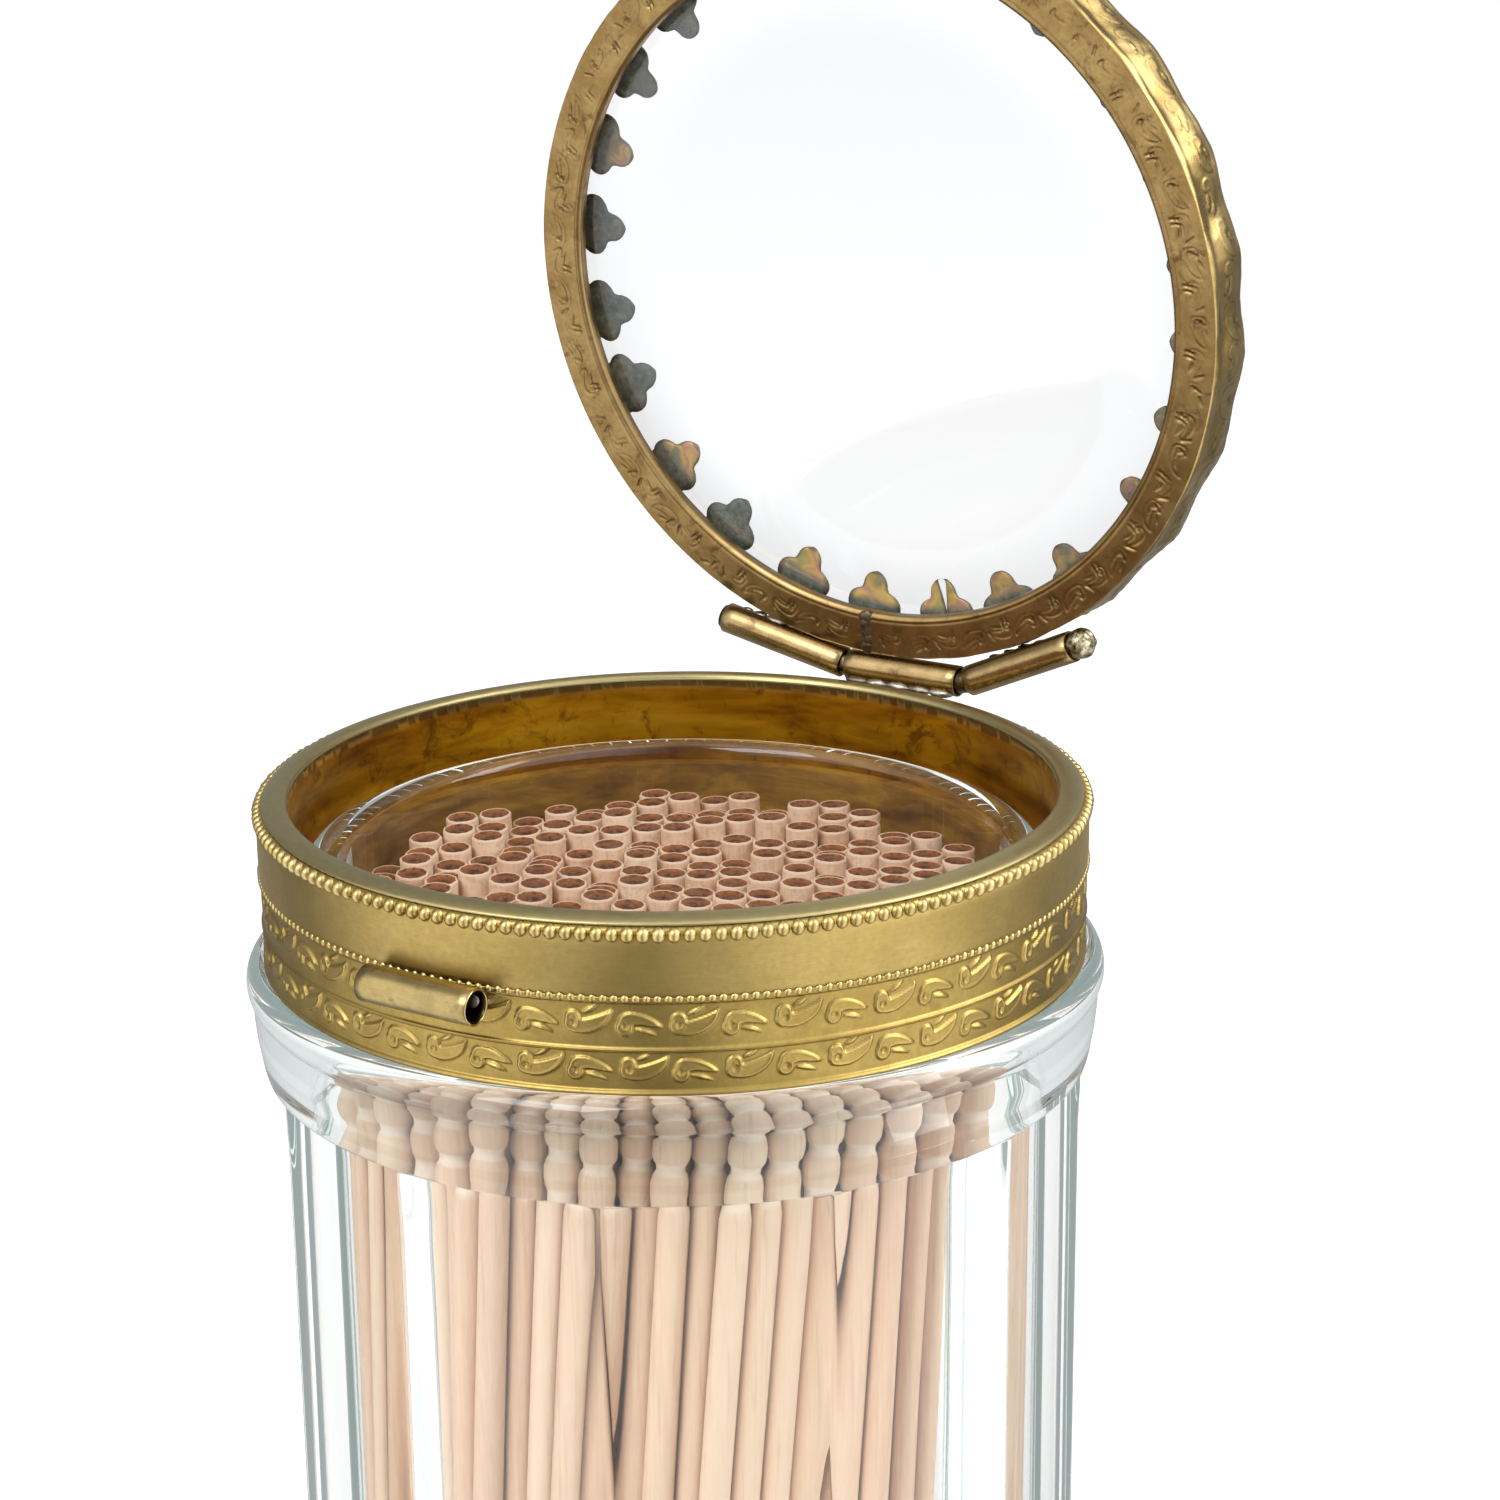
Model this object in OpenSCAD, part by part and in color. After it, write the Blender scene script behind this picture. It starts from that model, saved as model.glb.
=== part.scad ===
// Panelled glass toothpick jar with a brass collar and a hinged, glazed brass lid.
// Millimetres, +Z up. The origin is the middle of the jar's foot, on the table.
// +Y points to the lid's hinge and -Y to the catch tube on the front of the collar.
// The lid is modelled shut and then swung up about the hinge to its resting angle.

/* [Toothpicks] */
// Diameter of one toothpick
pick_d = 2.1; // [1.8:0.05:2.3]
// Length of one toothpick, from its blunt head to its point
pick_len = 65; // [55:0.5:80]
// Least gap between two neighbouring toothpicks
pick_gap = 0.06; // [0.04:0.01:0.1]
// How far the whole bundle leans to one side at its foot
bundle_lean = 1.5; // [0.5:0.25:1.75]
// How far the bundle is twisted between its heads and its points, in degrees
bundle_twist = 13; // [0:1:14]
// Spread of the toothpicks' lengths, longest to shortest
pick_spread = 1.4; // [0.5:0.1:3]

/* [Jar] */
// Radius of the bore through the neck
neck_bore_r = 20.5; // [20.2:0.1:26]
// Thickness of the glass round the neck
neck_wall = 1.8; // [1.2:0.1:2.4]
// Extra radius of the bore below the neck
bore_swell = 0.7; // [0.3:0.1:1.2]
// Thickness of the glass at the upright ridges
jar_wall = 3.6; // [3:0.1:6]
// Thickness of the glass floor
floor_t = 6; // [4:0.25:10]
// Height of the collar's top above the tips of standing toothpicks
head_room = 7; // [6:0.25:12]
// How far the neck's rim lies below the collar's top
rim_drop = 4; // [3:0.1:4.5]
// Number of upright panels round the jar
panel_n = 12; // [10:1:14]
// How deep each panel is hollowed at its middle
panel_sag = 0.3; // [0.1:0.05:0.5]
// Drop from the collar's top to the ledge above the panels
ledge_drop = 16.8; // [15.5:0.1:20]
// Height of the plain round foot below the panels
foot_h = 3; // [2.5:0.1:5]
// How far the shoulder flange stands proud of the collar
flange_proud = 1.1; // [0.6:0.1:2]

/* [Collar] */
// Height of the brass collar
collar_h = 10.1; // [9.5:0.1:12]
// Thickness of the cement between the neck and the collar
cement_t = 0.83; // [0.4:0.01:1.2]
// Thickness of the plain inner sleeve
sleeve_t = 0.97; // [0.6:0.01:1.4]
// Thickness of the ornamental outer band
band_t = 0.9; // [0.85:0.01:1.3]
// Thickness of the row of beads under the lip
bead_d = 0.85; // [0.75:0.01:0.9]
// Depth of the two foliage bands
foliage_depth = 0.28; // [0.15:0.01:0.35]
// Outer radius of the catch tube
catch_r = 1.08; // [0.9:0.01:1.2]
// Length of the catch tube
catch_len = 7.6; // [5:0.1:10]
// Wall of the catch tube
catch_wall = 0.16; // [0.12:0.01:0.3]

/* [Hinge] */
// Outer radius of the three hinge knuckles
knuckle_r = 1.03; // [0.9:0.01:1.1]
// Radius of the wire pin
pin_r = 0.8; // [0.6:0.01:0.82]
// Radial running clearance of the pin in the middle knuckle
pin_clear = 0.05; // [0.03:0.01:0.08]
// Distance of the hinge axis outside the collar
hinge_out = 0.7; // [0.65:0.05:1.2]
// Height of the hinge axis above the collar's top
hinge_up = 0.55; // [0.5:0.05:0.8]
// Length of the middle knuckle
knuckle_mid_len = 8.35; // [6:0.05:10]
// Length of the left knuckle
knuckle_left_len = 9.3; // [6:0.1:11]
// Length of the right knuckle
knuckle_right_len = 8.4; // [6:0.1:10]
// How far the left knuckle is bent in towards the lid, in degrees
splay_left = 12.3; // [8:0.1:16]
// How far the right knuckle is bent in towards the lid, in degrees
splay_right = 24.6; // [16:0.1:26]
// Opening angle of the lid at rest, in degrees
lid_open = 83.5; // [0:0.5:106]

/* [Lid] */
// Gap between the shut lid and the collar's top
lid_gap = 0.15; // [0.1:0.01:0.3]
// Thickness of the engraved ring under the glass
ring_t = 0.8; // [0.5:0.05:1.2]
// Width of the engraved ring
ring_w = 2.8; // [2:0.1:3.5]
// Height of the lid's outer wall
wall_h = 4; // [3.8:0.1:5]
// Thickness of the lid's outer wall
wall_t = 0.6; // [0.4:0.05:0.7]
// Thickness of the lid glass
glass_t = 3; // [2.4:0.1:3.1]
// Number of prongs folded over the glass
prong_n = 24; // [18:1:26]
// Thickness of the prongs
prong_t = 0.4; // [0.25:0.05:0.5]
// How far the prongs reach in over the glass, from the lid's outer wall
prong_reach = 5.3; // [5:0.1:7]

/* [Hidden] */

$fn = 96;
// Finer round cuts for small pieces beside large round walls, and for the panels
fine_fn = 720;
// Overrun of every cut past the face that it leaves through
over = 1;

// Levels and radii of the jar and its collar
collar_top = floor_t + pick_len + head_room;
neck_r = neck_bore_r + neck_wall;
sleeve_bore_r = neck_r + cement_t;
band_in_r = sleeve_bore_r + sleeve_t;
collar_r = band_in_r + band_t;
bore_r = neck_bore_r + bore_swell;
ridge_r = bore_r + jar_wall;
flange_r = collar_r + flange_proud;
rim_z = collar_top - rim_drop;
collar_low_z = collar_top - collar_h;
ledge_z = collar_top - ledge_drop;

// Shoulder of the jar between its flange and its ledge
flange_half = 1.15;
flange_mid_z = collar_low_z - flange_half;
shoulder_swell = 0.95;
shoulder_fall = 4.3;
// Radius and height of the shoulder from the flange down to the ridges, as shares of the
// swell and of the way down
shoulder_shares = [[1, 0], [0.79, 0.32], [0.56, 0.5], [0.2, 0.72], [0.05, 0.88], [0, 1]];
foot_round = 2;
floor_round = 2;
neck_blend = 3;

// Hollow of one panel: the cylinder that cuts it, leaving a narrow land at each ridge
ridge_land = 0.34;
panel_half = ridge_r * sin(180 / panel_n) - ridge_land / 2;
panel_flat_r = sqrt(pow(ridge_r, 2) - pow(panel_half, 2));
panel_cut_r = (pow(panel_half, 2) + pow(panel_sag, 2)) / (2 * panel_sag);
// Turn of the panels about the jar, in degrees
panel_turn = 8.8;

// Lip and bands of the collar, as drops from the collar's top
lip_t = 0.42;
// How far the lip stays back from the collar's face and the beads stand out of it, as
// shares of the band's thickness
lip_back_share = 1 / 3;
bead_out_share = 1 / 3;
lip_out_r = collar_r - lip_back_share * band_t;
lip_round = lip_t / 2;
bead_seat = 0.02;
bead_r = bead_d / 2;
bead_ring_r = collar_r - bead_r + bead_out_share * band_t;
bead_floor_r = bead_ring_r - bead_r - bead_seat;
bead_drop = lip_t + bead_r + bead_seat;
// Drops of the plain band's foot, the cord, the two foliage bands and the divider,
// as shares of the collar's height
plain_end_share = 0.42;
cord_share = 0.446;
leaf_shares = [0.475, 0.732, 0.76, 0.98];
cord_r = 0.24;
leaf_floor_r = collar_r - foliage_depth;

// Catch tube on the front of the collar
catch_y = -(collar_r + catch_r);
catch_share = 0.505;
catch_z = collar_top - catch_share * collar_h;
catch_off = 0.6;
// Drop of its solder below the tube's axis, how far the solder lies behind the axis and how
// far it stays in from each end, as shares of the tube's radius
catch_solder_shares = [0.7, 0.25, 0.5];

// Hinge: the middle knuckle lies on the axis, the wire bends just past both its ends
hinge_y = collar_r + hinge_out;
hinge_z = collar_top + hinge_up;
knuckle_off = 1.33;
mid_left_x = knuckle_off - knuckle_mid_len / 2;
mid_right_x = knuckle_off + knuckle_mid_len / 2;
bend_gap = 0.38;
end_swell_share = 0.15;
knuckle_gap_left = 0.24;
knuckle_gap_right = 0.44;
pin_end_left = 0.3;
pin_end_right = 0.7;
// Solder of an outer knuckle: its reach towards the lid, its drop below the axis, its height
// and how far it stays in from the left knuckle's ends and from the right knuckle's, as
// shares of the knuckle's radius
arm_solder_shares = [1.55, 0.3, 0.9];
solder_in_left_share = 2;
solder_in_right_share = 1;
solder_out_right_share = 0.5;
// Solder of the middle knuckle: its depth and how far it stays in from each end
collar_solder_shares = [1.6, 0.25];

// Lid, in its shut place
lid_z = collar_top + lid_gap;
ring_step = 0.5;
ring_out_r = collar_r - ring_step;
ring_in_r = ring_out_r - ring_w;
ring_bevel = 0.2;
// Bulge of the outer wall: heights as shares of the wall's, how far the first point has come
// out of the ring's step and how far the fourth has leant back in
wall_bulge_shares = [0.15, 0.35, 0.6, 0.82];
wall_out_share = 0.7;
wall_back_share = 0.3;
wall_in_r = collar_r - wall_t;
glass_edge_gap = 0.2;
glass_r = wall_in_r - wall_t / 2 - glass_edge_gap;
glass_bevel = 0.6;
glass_z = lid_z + ring_t;
glass_top_z = glass_z + glass_t;
wall_top_z = lid_z + wall_h;
wall_lean = 0.4;
prong_rise = 0.95;
prong_seat = 0.05;
// Folded sheet of the prongs: drops below its crest as shares of its thickness, places of
// the fold's foot and crest as shares of the glass's bevel, and how far the sheet's two
// faces lean in over the wall as shares of the wall's lean
fold_under_shares = [1.5, 1.1, 1.9];
fold_over_shares = [1, 0.2];
fold_foot_share = 3;
fold_crest_share = 0.4;
fold_lean_shares = [0.7, 1.3];
prong_first = 51.1;
prong_split = 2;
prong_tip_r = collar_r - prong_reach;
// One prong: radius of a side lobe as a share of the reach; the end lobe's radius, the side
// lobes' setting back and out, the half widths at the end, the lobes and the root, and the
// half width and depth of a split, all as shares of a side lobe's radius
lobe_share = 0.165;
end_lobe_share = 1.05;
side_lobe_shares = [1.4, 1.3];
prong_half_shares = [0.6, 1.7, 2.2];
split_shares = [0.5, 2.4];
seam_angle = 93;
seam_w = 0.3;
relief = 0.25;

// Toothpick bundle: rows across the jar, a hexagonal pattern at the heads that is drawn
// together, twisted and moved sideways at the points
row_n = 20;
pick_r = pick_d / 2;
pick_wall_gap = 0.65;
bundle_r = neck_bore_r - pick_r - pick_wall_gap;
// How far a toothpick's middle may stand outside the bundle, as a share of its radius
stray_share = 0.25;
row_pitch = 2 * bundle_r / (row_n - 1);
pick_pitch = row_pitch / sin(60);
foot_share = (pick_d + pick_gap) / pick_pitch;
pick_wander = (pick_pitch - pick_d) / 2 - pick_gap / 2;
pick_foot_gap = 0.15;
pick_foot_z = floor_t + pick_foot_gap;
// Direction of the lean, in degrees from +X
lean_turn = 213.8;
// Head of a toothpick: dish, bevel, three turned grooves and the flares between them,
// as [share of the radius, share of the length down from the head]
head_shares = [[0, 0.0022], [0.8, 0.0012], [0.9, 0], [1, 0.0016], [1, 0.092], [0.76, 0.101],
    [0.76, 0.107], [1, 0.121], [0.76, 0.134], [0.76, 0.142], [0.99, 0.152], [0.99, 0.162],
    [0.76, 0.173], [0.76, 0.181], [1, 0.2]];
point_shares = [[1, 0.86], [0.62, 0.95], [0.14, 1], [0, 1]];

// A steady scatter between -1 and 1 for any pair of whole numbers
function scatter(a, b) = let (v = sin(a * 127.1 + b * 311.7) * 43758.5453) 2 * (v - floor(v)) - 1;

// Places a shut lid piece at its resting angle
module swing_lid() {
    translate([0, hinge_y, hinge_z]) rotate([-lid_open, 0, 0])
        translate([0, -hinge_y, -hinge_z]) children();
}

// A straight tube or rod along +X
module rod(radius, length) {
    rotate([0, 90, 0]) cylinder(r = radius, h = length);
}

// Frame of an outer knuckle: from the bend of the wire, along the splayed direction
module left_arm() {
    translate([mid_left_x - bend_gap / 2, hinge_y, hinge_z]) mirror([1, 0, 0])
        rotate([0, 0, -splay_left]) children();
}

module right_arm() {
    translate([mid_right_x + bend_gap, hinge_y, hinge_z]) rotate([0, 0, -splay_right]) children();
}

// Jar: a turned outside with a rounded neck, a flange and a ledge, hollowed by the bore
// and by one shallow cylinder for each upright panel
module jar_outside() {
    high = flange_mid_z - flange_half;
    low = ledge_z - shoulder_fall;
    shoulder = [for (s = shoulder_shares)
        [ridge_r + shoulder_swell * s[0], high + (low - high) * s[1]]];
    rotate_extrude() {
        polygon(concat([[0, foot_round], [ridge_r, foot_round]],
            [for (i = [len(shoulder) - 1 : -1 : 0]) shoulder[i]],
            [[flange_r - flange_half, flange_mid_z], [flange_r - flange_half, collar_low_z],
            [neck_r, collar_low_z], [neck_r, rim_z - neck_wall / 2],
            [0, rim_z - neck_wall / 2]]));
        translate([flange_r - flange_half, flange_mid_z]) circle(r = flange_half);
        translate([neck_r - neck_wall / 2, rim_z - neck_wall / 2]) circle(r = neck_wall / 2);
        square([ridge_r - foot_round, foot_round]);
        translate([ridge_r - foot_round, foot_round]) circle(r = foot_round);
    }
}

module jar_bore() {
    rotate_extrude() {
        polygon([[0, floor_t + floor_round], [bore_r, floor_t + floor_round],
            [bore_r, flange_mid_z - flange_half - neck_blend],
            [neck_bore_r, flange_mid_z - flange_half],
            [neck_bore_r, rim_z - neck_wall / 2], [neck_bore_r, rim_z + over],
            [0, rim_z + over]]);
        translate([0, floor_t]) square([bore_r - floor_round, floor_round]);
        translate([bore_r - floor_round, floor_t + floor_round]) circle(r = floor_round);
    }
}

module jar_body() {
    color([0.85, 0.93, 0.92, 0.4]) difference() {
        jar_outside();
        jar_bore();
        for (i = [0 : panel_n - 1])
            rotate([0, 0, panel_turn + 360 * i / panel_n])
                translate([panel_flat_r - panel_sag + panel_cut_r, 0, foot_h])
                    cylinder(r = panel_cut_r, h = ledge_z - foot_h, $fn = fine_fn);
    }
}

module neck_cement() {
    color([0.62, 0.5, 0.3]) translate([0, 0, collar_low_z]) difference() {
        cylinder(r = sleeve_bore_r, h = collar_h - rim_drop - neck_wall);
        translate([0, 0, -over]) cylinder(r = neck_r, h = collar_h + over);
    }
}

// Collar sleeve: a plain tube with a smooth rolled lip over the band's top
module collar_sleeve() {
    color([0.7, 0.55, 0.25]) rotate_extrude() {
        translate([sleeve_bore_r, collar_low_z])
            square([sleeve_t, collar_h - lip_round]);
        translate([sleeve_bore_r + lip_round, collar_top - lip_t])
            square([lip_out_r - sleeve_bore_r - 2 * lip_round, lip_t]);
        for (x = [sleeve_bore_r + lip_round, lip_out_r - lip_round])
            translate([x, collar_top - lip_round]) circle(r = lip_round);
    }
}

// Turned profile of the outer band: bead seat, plain belt, cord, and two sunk leaf bands
module band_profile() {
    z_plain = collar_top - bead_drop - bead_r - bead_seat;
    cord_z = collar_top - cord_share * collar_h;
    leaf_z = [for (s = leaf_shares) collar_top - s * collar_h];
    cord = [for (a = [60 : -20 : -60])
        [collar_r - cord_r / 2 + cord_r * cos(a), cord_z + cord_r * sin(a)]];
    polygon(concat([[band_in_r, collar_top - lip_t], [bead_floor_r, collar_top - lip_t],
        [bead_floor_r, z_plain], [collar_r, z_plain],
        [collar_r, collar_top - plain_end_share * collar_h]], cord,
        [[leaf_floor_r, leaf_z[0]], [leaf_floor_r, leaf_z[1]], [collar_r, leaf_z[1]],
        [collar_r, leaf_z[2]], [leaf_floor_r, leaf_z[2]], [leaf_floor_r, leaf_z[3]],
        [collar_r, leaf_z[3]], [collar_r, collar_low_z], [band_in_r, collar_low_z]]));
}

module collar_band() {
    color([0.72, 0.6, 0.3]) rotate_extrude() band_profile();
}

// Row of beads, as one round ring in the seat under the lip
module bead_row() {
    color([0.85, 0.75, 0.45]) rotate_extrude()
        translate([bead_ring_r, collar_top - bead_drop]) circle(r = bead_r);
}

// Catch tube, level and square to the front, soldered to the sunk leaf band
module catch_tube() {
    color([0.75, 0.65, 0.35]) translate([catch_off - catch_len / 2, catch_y, catch_z])
        difference() {
            rod(catch_r, catch_len);
            translate([-over, 0, 0]) rod(catch_r - catch_wall, catch_len + 2 * over);
        }
}

module catch_solder() {
    band_top = collar_top - leaf_shares[0] * collar_h;
    low = catch_z - catch_solder_shares[0] * catch_r;
    inset = catch_solder_shares[2] * catch_r;
    color([0.6, 0.58, 0.52]) difference() {
        translate([catch_off - catch_len / 2 + inset, catch_y + catch_solder_shares[1] * catch_r,
            low])
            cube([catch_len - 2 * inset, catch_r + foliage_depth, band_top - low]);
        cylinder(r = leaf_floor_r, h = collar_top, $fn = fine_fn);
        translate([catch_off - catch_len, catch_y, catch_z])
            rod(catch_r, 2 * catch_len, $fn = fine_fn);
    }
}

module hinge_knuckle_middle() {
    color([0.7, 0.6, 0.38]) translate([mid_left_x, hinge_y, hinge_z]) difference() {
        rod(knuckle_r, knuckle_mid_len);
        translate([-over, 0, 0]) rod(pin_r + pin_clear, knuckle_mid_len + 2 * over);
    }
}

// Solder that fills the narrow gap between the lip and the middle knuckle
module hinge_solder_collar() {
    inset = collar_solder_shares[1] * knuckle_r;
    color([0.6, 0.58, 0.52]) difference() {
        translate([mid_left_x + inset, lip_out_r - knuckle_r, collar_top - lip_t])
            cube([knuckle_mid_len - 2 * inset, collar_solder_shares[0] * knuckle_r, lip_t]);
        cylinder(r = lip_out_r, h = collar_top + over, $fn = fine_fn);
        translate([mid_left_x - over, hinge_y, hinge_z])
            rod(knuckle_r, knuckle_mid_len + 2 * over, $fn = fine_fn);
    }
}

// Wire pin: straight through the middle knuckle, mitred where it bends beside it, with a
// crumpled right end
module hinge_pin() {
    bend_left = mid_left_x - bend_gap / 2;
    bend_right = mid_right_x + bend_gap;
    tail_left = knuckle_gap_left + knuckle_left_len + pin_end_left;
    tail_right = knuckle_gap_right + knuckle_right_len + pin_end_right;
    color([0.72, 0.7, 0.6]) swing_lid() union() {
        difference() {
            translate([bend_left - over, hinge_y, hinge_z])
                rod(pin_r, bend_right - bend_left + 2 * over);
            translate([bend_left, hinge_y, hinge_z]) mirror([1, 0, 0])
                rotate([0, 0, -splay_left / 2]) mitre_cut();
            translate([bend_right, hinge_y, hinge_z]) rotate([0, 0, -splay_right / 2]) mitre_cut();
        }
        left_arm() difference() {
            translate([-over, 0, 0]) rod(pin_r, tail_left + over);
            rotate([0, 0, splay_left / 2]) mirror([1, 0, 0]) mitre_cut();
        }
        right_arm() difference() {
            translate([-over, 0, 0]) rod(pin_r, tail_right + over);
            rotate([0, 0, splay_right / 2]) mirror([1, 0, 0]) mitre_cut();
        }
        right_arm() translate([tail_right, 0, 0]) sphere(r = pin_r * (1 + end_swell_share));
    }
}

// Block that takes off what lies past a mitre
module mitre_cut() {
    translate([0, -over - pin_r, -over - pin_r]) cube(2 * (over + pin_r));
}

module hinge_knuckle_left() {
    color([0.7, 0.6, 0.38]) swing_lid() left_arm() translate([knuckle_gap_left, 0, 0])
        difference() {
            rod(knuckle_r, knuckle_left_len);
            translate([-over, 0, 0]) rod(pin_r, knuckle_left_len + 2 * over);
        }
}

module hinge_knuckle_right() {
    color([0.7, 0.6, 0.38]) swing_lid() right_arm() translate([knuckle_gap_right, 0, 0])
        difference() {
            rod(knuckle_r, knuckle_right_len);
            translate([-over, 0, 0]) rod(pin_r, knuckle_right_len + 2 * over);
        }
}

// Space that the three knuckles take out of the lid: the outer two are seated in it,
// and the middle one turns free with a relief all round
module knuckle_seats() {
    left_arm() translate([knuckle_gap_left, 0, 0]) rod(knuckle_r, knuckle_left_len);
    right_arm() translate([knuckle_gap_right, 0, 0]) rod(knuckle_r, knuckle_right_len);
    translate([mid_left_x - bend_gap, hinge_y, hinge_z])
        rod(knuckle_r + relief, knuckle_mid_len + 3 * bend_gap);
}

// Solder between the lid's outer wall and an outer knuckle
module knuckle_solder(length) {
    size = arm_solder_shares * knuckle_r;
    translate([0, -size[0], -size[1]]) cube([length, size[0], size[2]]);
}

module hinge_solder_left() {
    inset = solder_in_left_share * knuckle_r;
    color([0.6, 0.58, 0.52]) swing_lid() difference() {
        left_arm() translate([inset, 0, 0]) knuckle_solder(knuckle_left_len - 2 * inset);
        lid_wall_envelope();
        left_arm() rod(knuckle_r, 2 * knuckle_left_len, $fn = fine_fn);
    }
}

module hinge_solder_right() {
    inset = solder_in_right_share * knuckle_r;
    length = knuckle_right_len - inset - solder_out_right_share * knuckle_r;
    color([0.6, 0.58, 0.52]) swing_lid() difference() {
        right_arm() translate([inset, 0, 0]) knuckle_solder(length);
        lid_wall_envelope();
        right_arm() rod(knuckle_r, 2 * knuckle_right_len, $fn = fine_fn);
    }
}

// Engraved ring under the glass, slit at its seam
module lid_ring() {
    color([0.62, 0.48, 0.22]) swing_lid() difference() {
        rotate_extrude() polygon([[ring_in_r, lid_z + ring_bevel], [ring_in_r + ring_bevel, lid_z],
            [ring_out_r, lid_z], [ring_out_r, lid_z + ring_t], [ring_in_r, lid_z + ring_t]]);
        knuckle_seats();
        seam_cut();
    }
}

module seam_cut() {
    rotate([0, 0, seam_angle]) translate([ring_in_r - over, -seam_w / 2, lid_z - over])
        cube([ring_w + 2 * over, seam_w, ring_t + 2 * over]);
}

// Solder in the ring's seam, flush with both faces
module lid_seam_solder() {
    color([0.42, 0.4, 0.36]) swing_lid() difference() {
        intersection() {
            translate([0, 0, lid_z]) cylinder(r = ring_out_r, h = ring_t);
            seam_cut();
        }
        translate([0, 0, lid_z - over]) cylinder(r = ring_in_r, h = ring_t + 2 * over);
        knuckle_seats();
    }
}

// Outside of the lid's wall as points from its foot to its top
function wall_outside() = let (s = wall_bulge_shares, proud = collar_r - ring_out_r) [
    [ring_out_r, lid_z], [ring_out_r + wall_out_share * proud, lid_z + s[0] * wall_h],
    [collar_r, lid_z + s[1] * wall_h], [collar_r, lid_z + s[2] * wall_h],
    [collar_r - wall_back_share * wall_lean, lid_z + s[3] * wall_h],
    [collar_r - wall_lean, wall_top_z]];

module lid_wall_envelope() {
    rotate_extrude($fn = fine_fn)
        polygon(concat([[0, lid_z]], wall_outside(), [[0, wall_top_z]]));
}

// One prong seen from above: a trefoil on a tapering root, pointing to the lid's middle
module prong_outline(split) {
    lobe = lobe_share * prong_reach;
    end_r = end_lobe_share * lobe;
    end_x = prong_tip_r + end_r;
    side = side_lobe_shares * lobe;
    half = prong_half_shares * lobe;
    difference() {
        union() {
            translate([end_x, 0]) circle(r = end_r);
            for (y = [-side[1], side[1]]) translate([end_x + side[0], y]) circle(r = lobe);
            polygon([[end_x, -half[0]], [end_x + side[0], -half[1]], [collar_r, -half[2]],
                [collar_r, half[2]], [end_x + side[0], half[1]], [end_x, half[0]]]);
        }
        if (split) let (cut = split_shares * lobe) polygon([[prong_tip_r - over, -cut[0]],
            [end_x + cut[1], 0], [prong_tip_r - over, cut[0]]]);
    }
}

// Bent sheet that all prongs are cut from, following the glass and arching at the wall
module prong_shell() {
    high = wall_top_z + prong_rise;
    under = [for (s = fold_under_shares) high - s * prong_t];
    upper = [for (s = fold_over_shares) high - s * prong_t];
    seat = glass_top_z + prong_seat;
    foot_r = glass_r - fold_foot_share * glass_bevel;
    bevel_r = glass_r - glass_bevel;
    rotate_extrude() polygon([[prong_tip_r, seat], [foot_r, seat], [bevel_r, under[0]],
        [glass_r, under[1]], [wall_in_r - fold_lean_shares[0] * wall_lean, under[2]],
        [wall_in_r - wall_lean, wall_top_z], [collar_r - wall_lean, wall_top_z],
        [collar_r - fold_lean_shares[1] * wall_lean, upper[0]],
        [glass_r + fold_crest_share * glass_bevel, high], [bevel_r, upper[1]],
        [foot_r, seat + prong_t], [prong_tip_r, seat + prong_t]]);
}

// Outer wall of the lid with its prongs
module lid_prong_wall() {
    outside = wall_outside();
    inside = [for (p = outside) [p[0] - wall_t, p[1]]];
    color([0.76, 0.62, 0.3]) swing_lid() difference() {
        union() {
            rotate_extrude() polygon(concat(outside,
                [inside[5], inside[4], inside[3], inside[2],
                [inside[1][0], lid_z + ring_t], [ring_out_r, lid_z + ring_t]]));
            intersection() {
                prong_shell();
                translate([0, 0, lid_z]) linear_extrude(height = 2 * wall_h)
                    for (i = [0 : prong_n - 1])
                        rotate(prong_first + 360 * i / prong_n) prong_outline(i == prong_split);
            }
        }
        knuckle_seats();
    }
}

module lid_glass() {
    color([0.88, 0.95, 0.97, 0.35]) swing_lid() rotate_extrude() polygon([[0, glass_z],
        [glass_r, glass_z], [glass_r, glass_top_z - glass_bevel],
        [glass_r - glass_bevel, glass_top_z], [0, glass_top_z]]);
}

// One toothpick of a given length, head up, with its point at the origin
module toothpick(length) {
    rotate_extrude() polygon([for (s = head_shares) [pick_r * s[0], length - pick_len * s[1]],
        for (s = point_shares) [pick_r * s[0], length * (1 - s[1])]]);
}

// Toothpicks of one row: each stands on the floor and leans to its own head
module pick_row(row) {
    y = (row - (row_n + 1) / 2) * row_pitch;
    start = (row % 2) / 2;
    half = floor(bundle_r / pick_pitch) + 1;
    color([0.87, 0.72, 0.55]) for (i = [-half : half])
        let (x = (i + start) * pick_pitch, out = norm([x, y])) if (out <= bundle_r + stray_share * pick_r)
            one_pick(x, y, row, i);
}

module one_pick(x, y, row, i) {
    turn = 180 * scatter(row, i + 40);
    wander = pick_wander * (1 + scatter(row + 20, i)) / 2;
    head = [x + wander * cos(turn), y + wander * sin(turn)];
    foot = [(x * cos(bundle_twist) + y * sin(bundle_twist)) * foot_share
            + bundle_lean * cos(lean_turn),
        (y * cos(bundle_twist) - x * sin(bundle_twist)) * foot_share
            + bundle_lean * sin(lean_turn)];
    drift = head - foot;
    length = pick_len + pick_spread / 2 * scatter(row + 7, i + 13);
    tilt = asin(norm(drift) / pick_len);
    translate([foot[0], foot[1], pick_foot_z])
        rotate([0, 0, atan2(drift[1], drift[0])]) rotate([0, tilt, 0]) toothpick(length);
}

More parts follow.
